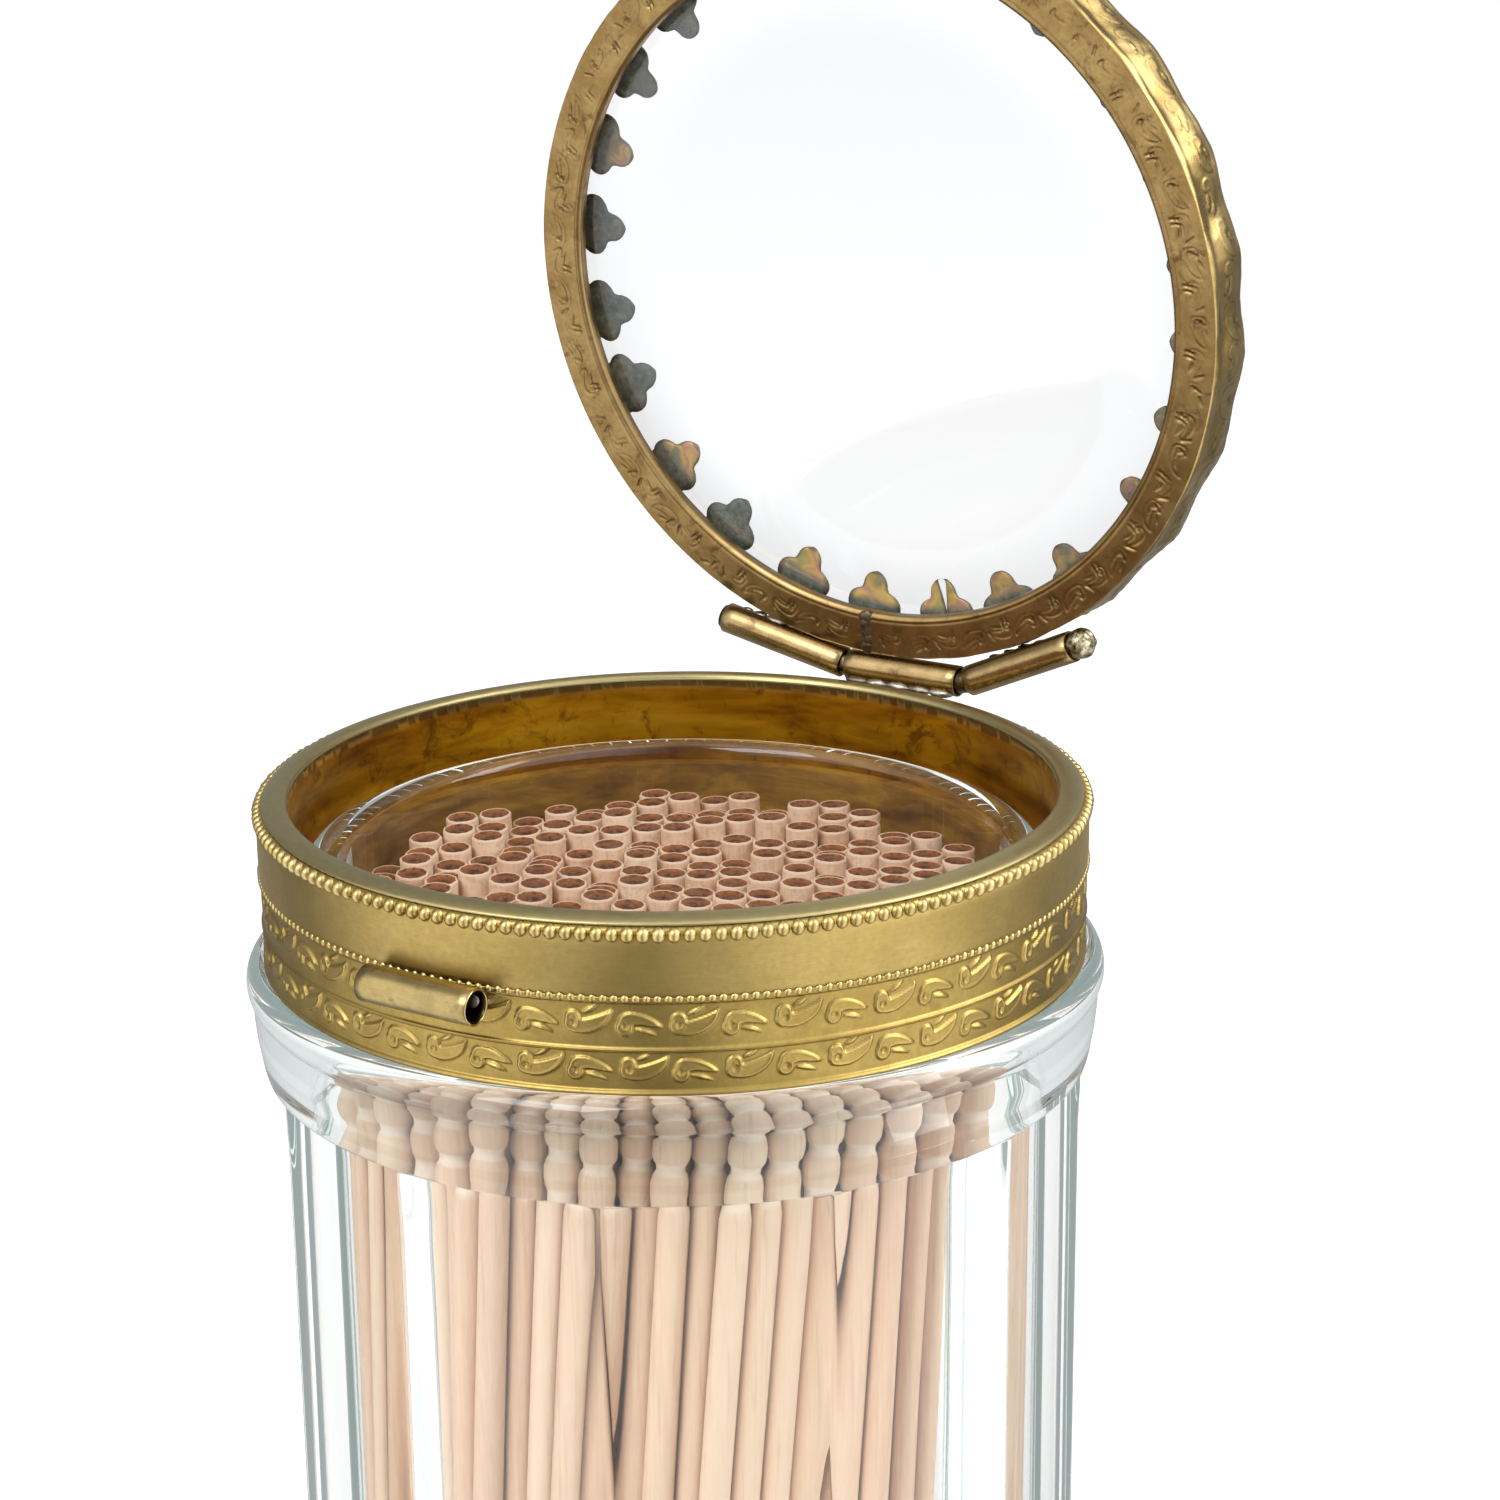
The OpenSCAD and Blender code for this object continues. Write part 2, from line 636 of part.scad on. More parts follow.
jar_body();
neck_cement();
collar_sleeve();
collar_band();
bead_row();
catch_tube();
catch_solder();
hinge_knuckle_middle();
hinge_solder_collar();
hinge_pin();
hinge_knuckle_left();
hinge_knuckle_right();
hinge_solder_left();
hinge_solder_right();
lid_ring();
lid_prong_wall();
lid_seam_solder();
lid_glass();
pick_row(1);  // pick_row_01
pick_row(2);  // pick_row_02
pick_row(3);  // pick_row_03
pick_row(4);  // pick_row_04
pick_row(5);  // pick_row_05
pick_row(6);  // pick_row_06
pick_row(7);  // pick_row_07
pick_row(8);  // pick_row_08
pick_row(9);  // pick_row_09
pick_row(10);  // pick_row_10
pick_row(11);  // pick_row_11
pick_row(12);  // pick_row_12
pick_row(13);  // pick_row_13
pick_row(14);  // pick_row_14
pick_row(15);  // pick_row_15
pick_row(16);  // pick_row_16
pick_row(17);  // pick_row_17
pick_row(18);  // pick_row_18
pick_row(19);  // pick_row_19
pick_row(20);  // pick_row_20
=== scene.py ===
import math

import bmesh
import bpy
import numpy as np
from mathutils import Matrix


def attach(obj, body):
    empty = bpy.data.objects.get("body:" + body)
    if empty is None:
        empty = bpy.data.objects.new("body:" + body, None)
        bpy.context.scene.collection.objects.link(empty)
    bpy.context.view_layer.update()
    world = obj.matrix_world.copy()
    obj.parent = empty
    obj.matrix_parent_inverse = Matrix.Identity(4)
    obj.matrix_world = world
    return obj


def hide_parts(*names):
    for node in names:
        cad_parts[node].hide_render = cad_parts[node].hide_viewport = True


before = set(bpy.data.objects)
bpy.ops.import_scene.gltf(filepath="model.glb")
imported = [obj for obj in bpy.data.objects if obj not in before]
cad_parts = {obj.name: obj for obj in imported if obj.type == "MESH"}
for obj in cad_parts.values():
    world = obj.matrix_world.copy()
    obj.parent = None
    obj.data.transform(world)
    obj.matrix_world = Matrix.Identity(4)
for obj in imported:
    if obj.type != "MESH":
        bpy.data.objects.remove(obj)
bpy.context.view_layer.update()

# Panelled glass toothpick jar with a brass collar and a hinged, glazed brass lid.
# Lengths are millimetres and become metres when a mesh is made. The origin is the middle of
# the jar's foot, +Z is up and +Y points to the hinge. Lid pieces are worked out shut and then
# swung up by swing().
MM = 0.001
TURN = 2 * math.pi
# A radius that closes a pole, and a length too small to count
POLE, TINY = 0.0001, 1e-9

COLLAR_TOP = 78.0
COLLAR_R = 25.0
COLLAR_LOW = 67.9
HINGE_Y, HINGE_Z = 25.7, 78.55
LID_OPEN = math.radians(-83.5)
LID_Z = 78.15
BODY_JAR, BODY_LID = "jar", "lid"
# Tone of plain ground in the brass pieces' tone attribute, where 0 is painted shade in a crevice and 1 a
# painted highlight on a ridge; on the ring real grime also lowers it
PLAIN = 0.5


# Numpy helpers

def smooth(low, high, x):
    """Smooth step: 0 below low, 1 above high, 3t^2 - 2t^3 between."""
    t = np.clip((x - low) / (high - low), 0, 1)
    return t * t * (3 - 2 * t)


def scatter(a, b):
    """Steady scatter in -1..1: the fraction of a large sine of a weighted sum, in degrees."""
    v = np.sin(np.radians(a * 127.1 + b * 311.7)) * 43758.5453
    return 2 * (v - np.floor(v)) - 1


def ripple(points, pitch, seed, count=7):
    """Gentle random waves at points: the mean of `count` sines of random directions, each
    with a wavelength near pitch."""
    rng = np.random.default_rng(seed)
    total = np.zeros(points.shape[:-1])
    for _ in range(count):
        way = rng.normal(size=3)
        way *= TURN / (pitch * rng.uniform(0.7, 1.5)) / np.linalg.norm(way)
        total += np.sin(points @ way + rng.uniform(0, TURN))
    return total / count


def curve(knots, steps):
    """Catmull-Rom curve through the knots, `steps` points to each span."""
    k = np.asarray(knots, float)
    k = np.vstack([2 * k[0] - k[1], k, 2 * k[-1] - k[-2]])
    t = np.linspace(0, 1, steps, endpoint=False)[:, None]
    spans = [0.5 * (2 * k[i] + (k[i + 1] - k[i - 1]) * t
                    + (2 * k[i - 1] - 5 * k[i] + 4 * k[i + 1] - k[i + 2]) * t ** 2
                    + (3 * k[i] - k[i - 1] - 3 * k[i + 1] + k[i + 2]) * t ** 3)
             for i in range(1, len(k) - 2)]
    return np.vstack(spans + [k[-2][None]])


def resample(profile, longest):
    """The profile's points with more put in wherever two lie further apart than longest."""
    out = [np.asarray(profile[0], float)]
    for a, b in zip(profile[:-1], profile[1:]):
        a, b = np.asarray(a, float), np.asarray(b, float)
        n = max(1, int(np.ceil(np.linalg.norm((b - a)[:2]) / longest)))
        out += [a + (b - a) * i / n for i in range(1, n + 1)]
    return np.array(out)


def arc(cx, cy, radius, start, end, steps):
    """Points of a circle's arc from start to end, in degrees."""
    a = np.radians(np.linspace(start, end, steps))
    return [(cx + radius * math.cos(t), cy + radius * math.sin(t)) for t in a]


def stacked(x, y, z):
    """Points made of their three coordinates, each spread to the same grid."""
    return np.stack(np.broadcast_arrays(x, y, z), -1)


def turned(x, y, angle):
    """A place (x, y) turned about the origin: (x cos a - y sin a, x sin a + y cos a)."""
    c, s = np.cos(angle), np.sin(angle)
    return c * x - s * y, s * x + c * y


def polar(radius, angle, height):
    """Points at a radius and an angle about Z, and at a height."""
    return stacked(radius * np.cos(angle), radius * np.sin(angle), height)


def spread(values, like):
    """One value for each row, repeated over the columns of a grid as large as `like`."""
    return np.broadcast_to(np.reshape(values, (-1, 1)), like.shape[:2])


def lathe(profile, angles):
    """Surface of revolution about Z: each profile point (r, z) carried round all angles."""
    p = np.asarray(profile, float)
    return polar(p[:, :1], angles, p[:, 1:2])


def ring_angles(count):
    """Even angles once round, from 0."""
    return np.arange(count) * TURN / count


def globe(rows, cols):
    """Unit sphere: polar angles down the rows, from pole to pole, and angles round the columns."""
    u = np.linspace(0, math.pi, rows)[:, None]
    return polar(np.sin(u), ring_angles(cols)[None], np.cos(u))


def swing(points):
    """A shut lid's points turned about the hinge axis to the lid's resting angle."""
    y, z = turned(points[..., 1] - HINGE_Y, points[..., 2] - HINGE_Z, LID_OPEN)
    return stacked(points[..., 0], HINGE_Y + y, HINGE_Z + z)


def along_x(points, origin, turn=0.0, mirrored=False):
    """A lathe about Z laid along +X, turned in plan by `turn` degrees, mirrored in X if
    asked, and moved to its origin."""
    x, y = turned(points[..., 2], points[..., 0], math.radians(turn))
    return stacked(-x if mirrored else x, y, points[..., 1]) + np.asarray(origin, float)


def sweep(path, radii, sides):
    """Round tube: a circle of each path point's radius, square to the path, carried along."""
    path = np.asarray(path, float)
    way = np.gradient(path, axis=0)
    way /= np.linalg.norm(way, axis=1)[:, None]
    side = np.cross(way, [0, 0, 1.0])
    side /= np.linalg.norm(side, axis=1)[:, None]
    up = np.cross(side, way)
    a = ring_angles(sides)
    r = np.asarray(radii, float)[:, None, None]
    return path[:, None] + r * (side[:, None] * np.cos(a)[:, None] + up[:, None] * np.sin(a)[:, None])


def blob(centre, radii, seed, rows=10, cols=14):
    """Lump of solder: an ellipsoid whose radius is rippled by up to a fifth."""
    unit = globe(rows, cols)
    bump = 1 + 0.2 * ripple(unit * (1 + seed % 5), 1.3, seed)
    return np.asarray(centre, float) + unit * bump[..., None] * np.asarray(radii, float)


# Meshes

def quads(count, rows, cols, wrap_rows):
    """Corner numbers of every quad of `count` grids: each joins four neighbours. The last
    column is joined to the first, and the last row too if asked."""
    r, c = np.meshgrid(np.arange(rows if wrap_rows else rows - 1), np.arange(cols), indexing="ij")
    r2, c2 = (r + 1) % rows, (c + 1) % cols
    one = np.stack([r * cols + c, r2 * cols + c, r2 * cols + c2, r * cols + c2], -1).reshape(-1, 4)
    return (one[None] + (np.arange(count) * rows * cols)[:, None, None]).reshape(-1, 4)


def solid(name, grids, body, finish, replaces=(), wrap_rows=False, marks=None, weld=True):
    """Makes one piece out of grids of points, one array (..., rows, cols, 3) or a list of
    them, whose columns wrap round. Closed grids are turned so that their volume is positive."""
    grids = [np.asarray(g, float) for g in (grids if isinstance(grids, list) else [grids])]
    faces, start = [], 0
    for g in grids:
        rows, cols = g.shape[-3:-1]
        faces.append(start + quads(g.size // (3 * rows * cols), rows, cols, wrap_rows))
        start += g.size // 3
    points, faces = np.concatenate([g.reshape(-1, 3) for g in grids]), np.concatenate(faces)
    p = points[faces]
    if np.einsum("ij,ij->", np.cross(p[:, 2] - p[:, 0], p[:, 3] - p[:, 1]), p.mean(1)) < 0:
        faces = faces[:, ::-1]
    mesh = bpy.data.meshes.new(name)
    mesh.vertices.add(len(points))
    mesh.vertices.foreach_set("co", (points * MM).astype(np.float32).ravel())
    mesh.loops.add(faces.size)
    mesh.loops.foreach_set("vertex_index", faces.astype(np.int32).ravel())
    mesh.polygons.add(len(faces))
    mesh.polygons.foreach_set("loop_start", np.arange(0, faces.size, 4, dtype=np.int32))
    mesh.polygons.foreach_set("loop_total", np.full(len(faces), 4, np.int32))
    mesh.update(calc_edges=True)
    for key, values in (marks or {}).items():
        values = values if isinstance(values, list) else [values]
        layer = mesh.attributes.new(key, "FLOAT", "POINT")
        layer.data.foreach_set("value", np.concatenate([np.ravel(v) for v in values]).astype(np.float32))
    if weld:
        work = bmesh.new()
        work.from_mesh(mesh)
        bmesh.ops.remove_doubles(work, verts=work.verts, dist=2e-7)
        work.to_mesh(mesh)
        work.free()
    mesh.polygons.foreach_set("use_smooth", np.ones(len(mesh.polygons), bool))
    mesh.validate()
    piece = bpy.data.objects.new(name, mesh)
    bpy.context.scene.collection.objects.link(piece)
    mesh.materials.append(finish)
    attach(piece, body)
    if replaces:
        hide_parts(*replaces)
    return piece


# Finishes

class Value:
    """An output socket; + - * / on it add Math nodes to its finish."""

    def __init__(self, finish, socket):
        self.finish, self.socket = finish, socket

    def math(self, operation, *others):
        return self.finish.node("ShaderNodeMath", {"operation": operation}, [self, *others])

    def __add__(self, other):
        return self.math("ADD", other)

    __radd__ = __add__

    def __mul__(self, other):
        return self.math("MULTIPLY", other)

    __rmul__ = __mul__

    def __sub__(self, other):
        return self.math("SUBTRACT", other)

    def __rsub__(self, other):
        return self.finish.node("ShaderNodeMath", {"operation": "SUBTRACT"}, [other, self])

    def __truediv__(self, other):
        return self.math("DIVIDE", other)

    def step(self, low, high):
        """0 below low, 1 above high, smooth between."""
        return self.finish.node("ShaderNodeMapRange", {"interpolation_type": "SMOOTHSTEP"},
                                {"Value": self, "From Min": low, "From Max": high})


# A Mix node's factor and colour sockets, by number
MIX_COLOUR = (0, 6, 7)


class Graph:
    """A node tree being filled in."""

    def __init__(self, tree):
        self.tree = tree

    def put(self, node, values):
        """Links or sets a node's sockets, by name or in their order."""
        for key, value in values.items() if isinstance(values, dict) else enumerate(values):
            socket = node.inputs[key]
            if isinstance(value, Value):
                self.tree.links.new(value.socket, socket)
            else:
                socket.default_value = (*value, 1) if socket.type == "RGBA" else value

    def node(self, kind, settings, values, output=0):
        """Adds one node: its settings, a ramp's stops among them, then its sockets."""
        made = self.tree.nodes.new(kind)
        for key, value in settings.items():
            if key == "stops":
                ramp = made.color_ramp
                while len(ramp.elements) < len(value):
                    ramp.elements.new(0.5)
                for element, (place, colour) in zip(ramp.elements, value):
                    element.position = place
                    element.color = (*colour, 1)
            else:
                setattr(made, key, value)
        self.put(made, values)
        return Value(self, made.outputs[output])

    def split(self, vector):
        """The three parts of a vector."""
        made = self.node("ShaderNodeSeparateXYZ", {}, [vector]).socket.node
        return [Value(self, socket) for socket in made.outputs]

    def ramp(self, value, *stops):
        """Colours by value, each stop a place and a colour."""
        return self.node("ShaderNodeValToRGB", {"stops": stops}, [value])

    def blend(self, factor, a, b):
        """Colour a where factor is 0 and colour b where it is 1."""
        return self.node("ShaderNodeMix", {"data_type": "RGBA"}, dict(zip(MIX_COLOUR, (factor, a, b))), 2)


    def rays(self):
        """Whether a ray is the camera's own, came through glass or came off a mirror."""
        made = self.node("ShaderNodeLightPath", {}, {}).socket.node
        return [Value(self, made.outputs[f"Is {kind} Ray"])
                for kind in ("Camera", "Transmission", "Glossy")]


class Finish(Graph):
    """A material being put together, with a Principled shader on its output."""

    def __init__(self, name, **constants):
        self.material = bpy.data.materials.new(name)
        self.material.use_nodes = True
        super().__init__(self.material.node_tree)
        self.tree.nodes.clear()
        self.shader = self.tree.nodes.new("ShaderNodeBsdfPrincipled")
        self.output = self.tree.nodes.new("ShaderNodeOutputMaterial")
        self.tree.links.new(self.shader.outputs[0], self.output.inputs[0])
        self.shade(**constants)

    def where(self, scale=(1, 1, 1)):
        """Object coordinates in millimetres, stretched by scale."""
        place = self.node("ShaderNodeTexCoord", {}, {}, "Object")
        return self.node("ShaderNodeMapping", {}, {
            "Vector": place, "Scale": tuple(s / MM for s in scale)})

    def noise(self, size, detail=3.0, rough=0.55, stretch=(1, 1, 1), warp=0.0):
        """Cloudy noise whose patches are about `size` millimetres."""
        return self.node("ShaderNodeTexNoise", {}, {
            "Vector": self.where(stretch), "Scale": 1 / size, "Detail": detail,
            "Roughness": rough, "Distortion": warp}, "Fac")

    def mark(self, name):
        """A piece's own named attribute."""
        return self.node("ShaderNodeAttribute", {"attribute_name": name}, {}, "Fac")

    def bump(self, height, millimetres):
        """Normal of a height of 0..1 that stands for so many millimetres."""
        return self.node("ShaderNodeBump", {}, {
            "Strength": 1.0, "Distance": millimetres * MM, "Height": height}, "Normal")

    def shade(self, **values):
        """Sets or links sockets of the shader, named with _ for a space."""
        self.put(self.shader, {key.replace("_", " "): value for key, value in values.items()})

    def done(self, **links):
        """Links what varies over the surface and gives the finished material."""
        self.shade(**links)
        return self.material


def brass(name, light, mid, dark, roughness, brushed=(1, 1, 1), patch=3, relief=False,
          spots=0.4, scratch=0.004):
    """Tarnished brass: light and mid golds mottled by cloudy noise, with darker stains, and
    brushed along one direction. Where a piece carries the tone attribute, low tones turn dark,
    painted shade in crevices and real grime, and high tones turn bright, a painted highlight on
    ridges, with plain ground at one half."""
    f = Finish(name, Metallic=1.0)
    cloud = f.noise(patch, 4, 0.6)
    fine = f.noise(0.35, 3, 0.6)
    lines = f.noise(0.16, 3, 0.7, stretch=brushed)
    colour = f.blend(cloud.step(0.36, 0.66), mid, light)
    colour = f.blend((lines - 0.5) * 0.5 + (fine - 0.5) * 0.5 + 0.2, colour, dark)
    stain = f.noise(patch * 0.45, 5, 0.65, warp=0.6).step(0.54, 0.72) * spots
    colour = f.blend(stain, colour, dark)
    rough = cloud * 0.12 + fine * 0.1 + (roughness - 0.1) + stain * 0.15
    if relief:
        # Painted shade where the tone is low and a painted highlight where it is high; on the ring low tone
        # also stands for real grime
        mark = f.mark("relief")
        colour = f.blend((1 - mark.step(0.05, 0.45)) * 0.85, colour, tuple(0.4 * v for v in dark))
        colour = f.blend(mark.step(0.6, 1.0) * 0.7, colour, tuple(min(1, 1.35 * v + 0.06) for v in light))
        rough = rough - mark.step(0.6, 1.0) * 0.08
    height = lines * 0.6 + fine * 0.4
    return f.done(Base_Color=colour, Roughness=rough, Normal=f.bump(height, scratch))


belt_brass = brass("satin_brass", (0.46, 0.335, 0.115), (0.37, 0.265, 0.085), (0.16, 0.115, 0.04),
                   0.4, brushed=(0.16, 0.16, 2.2), patch=9, spots=0.15)
leaf_brass = brass("foliage_brass", (0.44, 0.315, 0.095), (0.35, 0.245, 0.07), (0.14, 0.095, 0.028),
                   0.38, patch=5, relief=True, spots=0.25)
bead_brass = brass("bead_brass", (0.66, 0.51, 0.22), (0.52, 0.39, 0.145), (0.2, 0.14, 0.05),
                   0.33)
tube_brass = brass("drawn_brass", (0.44, 0.335, 0.14), (0.33, 0.24, 0.09), (0.14, 0.10, 0.04),
                   0.25, brushed=(0.25, 2, 2), relief=True, spots=0.6)
hinge_brass = brass("hinge_brass", (0.47, 0.335, 0.155), (0.34, 0.23, 0.10), (0.13, 0.085, 0.04),
                    0.25, brushed=(0.25, 2, 2), relief=True, spots=0.7)
wall_brass = brass("chased_brass", (0.52, 0.375, 0.15), (0.36, 0.25, 0.085), (0.16, 0.105, 0.035),
                   0.27, relief=True, spots=0.45, scratch=0.012)
ring_brass = brass("engraved_brass", (0.37, 0.25, 0.10), (0.26, 0.165, 0.06), (0.11, 0.066, 0.025),
                   0.36, patch=2.4, relief=True, spots=0.75, scratch=0.012)


def sleeve_finish():
    """Amber tarnish: golds and browns in level streaks with darker mottles inside the tube,
    and grey-green satin brass where the attribute `lip` marks the rolled lip."""
    f = Finish("amber_brass", Metallic=1.0)
    streak = f.noise(3.2, 5, 0.6, stretch=(0.35, 0.35, 1.6), warp=0.4)
    mottle = f.noise(2.2, 5, 0.7, warp=0.8)
    fine = f.noise(0.3, 3, 0.6, stretch=(0.4, 0.4, 2))
    colour = f.ramp(streak, (0.3, (0.19, 0.075, 0.006)), (0.44, (0.38, 0.19, 0.008)),
                    (0.56, (0.56, 0.31, 0.012)), (0.72, (0.68, 0.42, 0.03)))
    colour = f.blend(mottle.step(0.5, 0.68) * 0.8, colour, (0.13, 0.05, 0.006))
    lip = f.mark("lip")
    satin = f.blend(fine, (0.30, 0.25, 0.12), (0.43, 0.36, 0.17))
    colour = f.blend(lip, colour, satin)
    return f.done(Base_Color=colour, Roughness=0.26 + mottle * 0.14 + fine * 0.1,
                  Normal=f.bump(fine, 0.006))


def wire_finish():
    """Soft wire: dark with grease and grime, greyish gold where the attribute `end` marks the
    crumpled end."""
    f = Finish("wire", Metallic=1.0)
    fine = f.noise(0.4, 4, 0.65)
    colour = f.blend(fine.step(0.35, 0.65), (0.06, 0.045, 0.025), (0.18, 0.13, 0.07))
    bright = f.blend(fine.step(0.4, 0.6), (0.10, 0.085, 0.045), (0.52, 0.46, 0.30))
    colour = f.blend(f.mark("end"), colour, bright)
    return f.done(Base_Color=colour, Roughness=fine * 0.2 + 0.2, Normal=f.bump(fine, 0.06))


def solder_finish(name, light, dark):
    """Dull solder: grey patches on a lumpy skin."""
    f = Finish(name, Metallic=1.0)
    fine = f.noise(0.35, 4, 0.65)
    cloud = f.noise(1.2, 4, 0.6)
    colour = f.blend((cloud + fine * 0.5 - 0.25).step(0.3, 0.75), dark, light)
    return f.done(Base_Color=colour, Roughness=fine * 0.25 + 0.3, Normal=f.bump(fine, 0.05))


def glass_finish(name, tint, absorb, density, wave, glow=(0, 0, 0)):
    """Clear pressed glass: smooth, with faint long waves, tinted through its thickness. Where a
    ray has been thrown about inside the wall three times, the glass gives off an even painted
    glow of `glow`, light of its own in place of what further bounces would bring."""
    f = Finish(name, Roughness=0.0, IOR=1.5, Transmission_Weight=1.0, Emission_Strength=1.0,
               Base_Color=tint)
    through = f.node("ShaderNodeVolumeAbsorption", {}, {"Color": absorb, "Density": density})
    f.put(f.output, {"Volume": through})
    soft = f.noise(7, 2, 0.5, stretch=(1, 1, 0.35))
    # Painted glow: an even emission on rays that have bounced about inside the wall, no lamp
    thrown = f.node("ShaderNodeLightPath", {}, {}, "Glossy Depth")
    return f.done(Normal=f.bump(soft, wave), Emission_Color=f.blend(thrown.step(2, 3), (0, 0, 0), glow))


def wood_finish():
    """Toothpick wood: pale peach birch, each pick a tone of its own, fine upright grain,
    scorched brown over the dished head, darkest in the middle of the dish as painted shade and
    lighter towards a pale rim, and paler in the turned grooves."""
    f = Finish("birch", Roughness=0.62, Specular_IOR_Level=0.3)
    tone, down, share = f.mark("tone"), f.mark("down"), f.mark("share")
    grain = f.noise(0.22, 4, 0.65, stretch=(1, 1, 0.05))
    vessel = f.noise(0.6, 5, 0.7, stretch=(1, 1, 0.035), warp=0.4)
    base = f.ramp(tone, (0.0, (0.62, 0.39, 0.25)), (0.35, (0.72, 0.50, 0.34)),
                  (0.7, (0.80, 0.60, 0.43)), (1.0, (0.70, 0.44, 0.28)))
    base = f.blend((grain - 0.35) * 0.9, base, (0.87, 0.70, 0.54))
    base = f.blend(vessel.step(0.52, 0.72) * 0.5, base, (0.50, 0.29, 0.17))
    groove = (1 - share).step(0.05, 0.2) * down.step(4.0, 5.5) * (1 - down.step(20.0, 30.0))
    base = f.blend(groove * 0.5, base, (0.94, 0.84, 0.73))
    speck = f.noise(0.5, 4, 0.7)
    top = (1 - share.step(0.84, 0.92)) * (1 - down.step(0.35, 0.45))
    # Real scorching with painted shade: darkest in the middle of the dish, lighter towards its edge
    scorch_and_painted_shade = f.blend(share.step(0.3, 0.85), (0.06, 0.016, 0.006), (0.33, 0.12, 0.04))
    scorch_and_painted_shade = f.blend(speck.step(0.42, 0.62) * 0.75, scorch_and_painted_shade, (0.07, 0.02, 0.008))
    rim = share.step(0.8, 0.9) * (1 - down.step(0.08, 0.2))
    colour = f.blend(rim * 0.7, base, (0.86, 0.66, 0.50))
    colour = f.blend(top, colour, scorch_and_painted_shade)
    singe = down.step(0.1, 0.2) * (1 - down.step(0.4, 2.0)) * speck.step(0.42, 0.66) * 0.4
    colour = f.blend(singe, colour, (0.42, 0.23, 0.13))
    return f.done(Base_Color=colour, Normal=f.bump(grain * 0.6 + vessel * 0.4, 0.035))


def cement_finish():
    """Stained cement behind the neck: amber and brown like the brass that it sets in."""
    f = Finish("neck_cement_finish", Roughness=0.55)
    cloud = f.noise(2.5, 5, 0.65, stretch=(0.4, 0.4, 1.5), warp=0.5)
    colour = f.ramp(cloud, (0.3, (0.07, 0.025, 0.002)), (0.5, (0.19, 0.085, 0.005)),
                    (0.7, (0.34, 0.18, 0.012)))
    return f.done(Base_Color=colour, Normal=f.bump(cloud, 0.05))


amber_brass, wire, birch, cement = sleeve_finish(), wire_finish(), wood_finish(), cement_finish()
solder_grey = solder_finish("grey_solder", (0.56, 0.54, 0.49), (0.17, 0.155, 0.13))
solder_dark = solder_finish("dark_solder", (0.24, 0.18, 0.12), (0.05, 0.035, 0.025))
jar_clear = glass_finish("jar_glass_finish", (0.99, 0.994, 0.992), (0.50, 0.76, 0.72), 16.0, 0.02,
                         (0.15, 0.15, 0.15))
lid_clear = glass_finish("lid_glass_finish", (0.99, 0.995, 1.0), (0.80, 0.93, 0.97), 8.0, 0.0)


# Jar

PANELS, PANEL_TURN, PANEL_SAG, LAND = 12, math.radians(8.8), 0.3, 0.34
RIDGE_R, BORE_R, NECK_BORE, NECK_R = 24.8, 21.2, 20.5, 22.3
LEDGE_Z, LEDGE_TOP, FOOT_H, FLOOR_T = 61.2, 65.9, 3.0, 6.0
# Rounded neck rim and shoulder flange: middle of the section's arc, then its radius
RIM, FLANGE = (21.4, 73.1, 0.9), (24.95, 66.75, 1.145)
FOOT_ROUND = 2.0
# The panelled side lies outside this radius, and above this height only the neck is inside it
SIDE_R, NECK_Z = 24.6, 60
# Mesh columns to a panel
COLUMNS = 38


def panel_radius(angles):
    """Radius of the hollowed panels: the near side of a large cylinder beyond each flat,
    D cos a - sqrt(R^2 - D^2 sin^2 a) at angle a from the panel's middle."""
    pitch = TURN / PANELS
    a = (angles - PANEL_TURN + pitch / 2) % pitch - pitch / 2
    half = RIDGE_R * math.sin(pitch / 2) - LAND / 2
    big = (half ** 2 + PANEL_SAG ** 2) / (2 * PANEL_SAG)
    far = math.sqrt(RIDGE_R ** 2 - half ** 2) - PANEL_SAG + big
    return far * np.cos(a) - np.sqrt(big ** 2 - (far * np.sin(a)) ** 2)


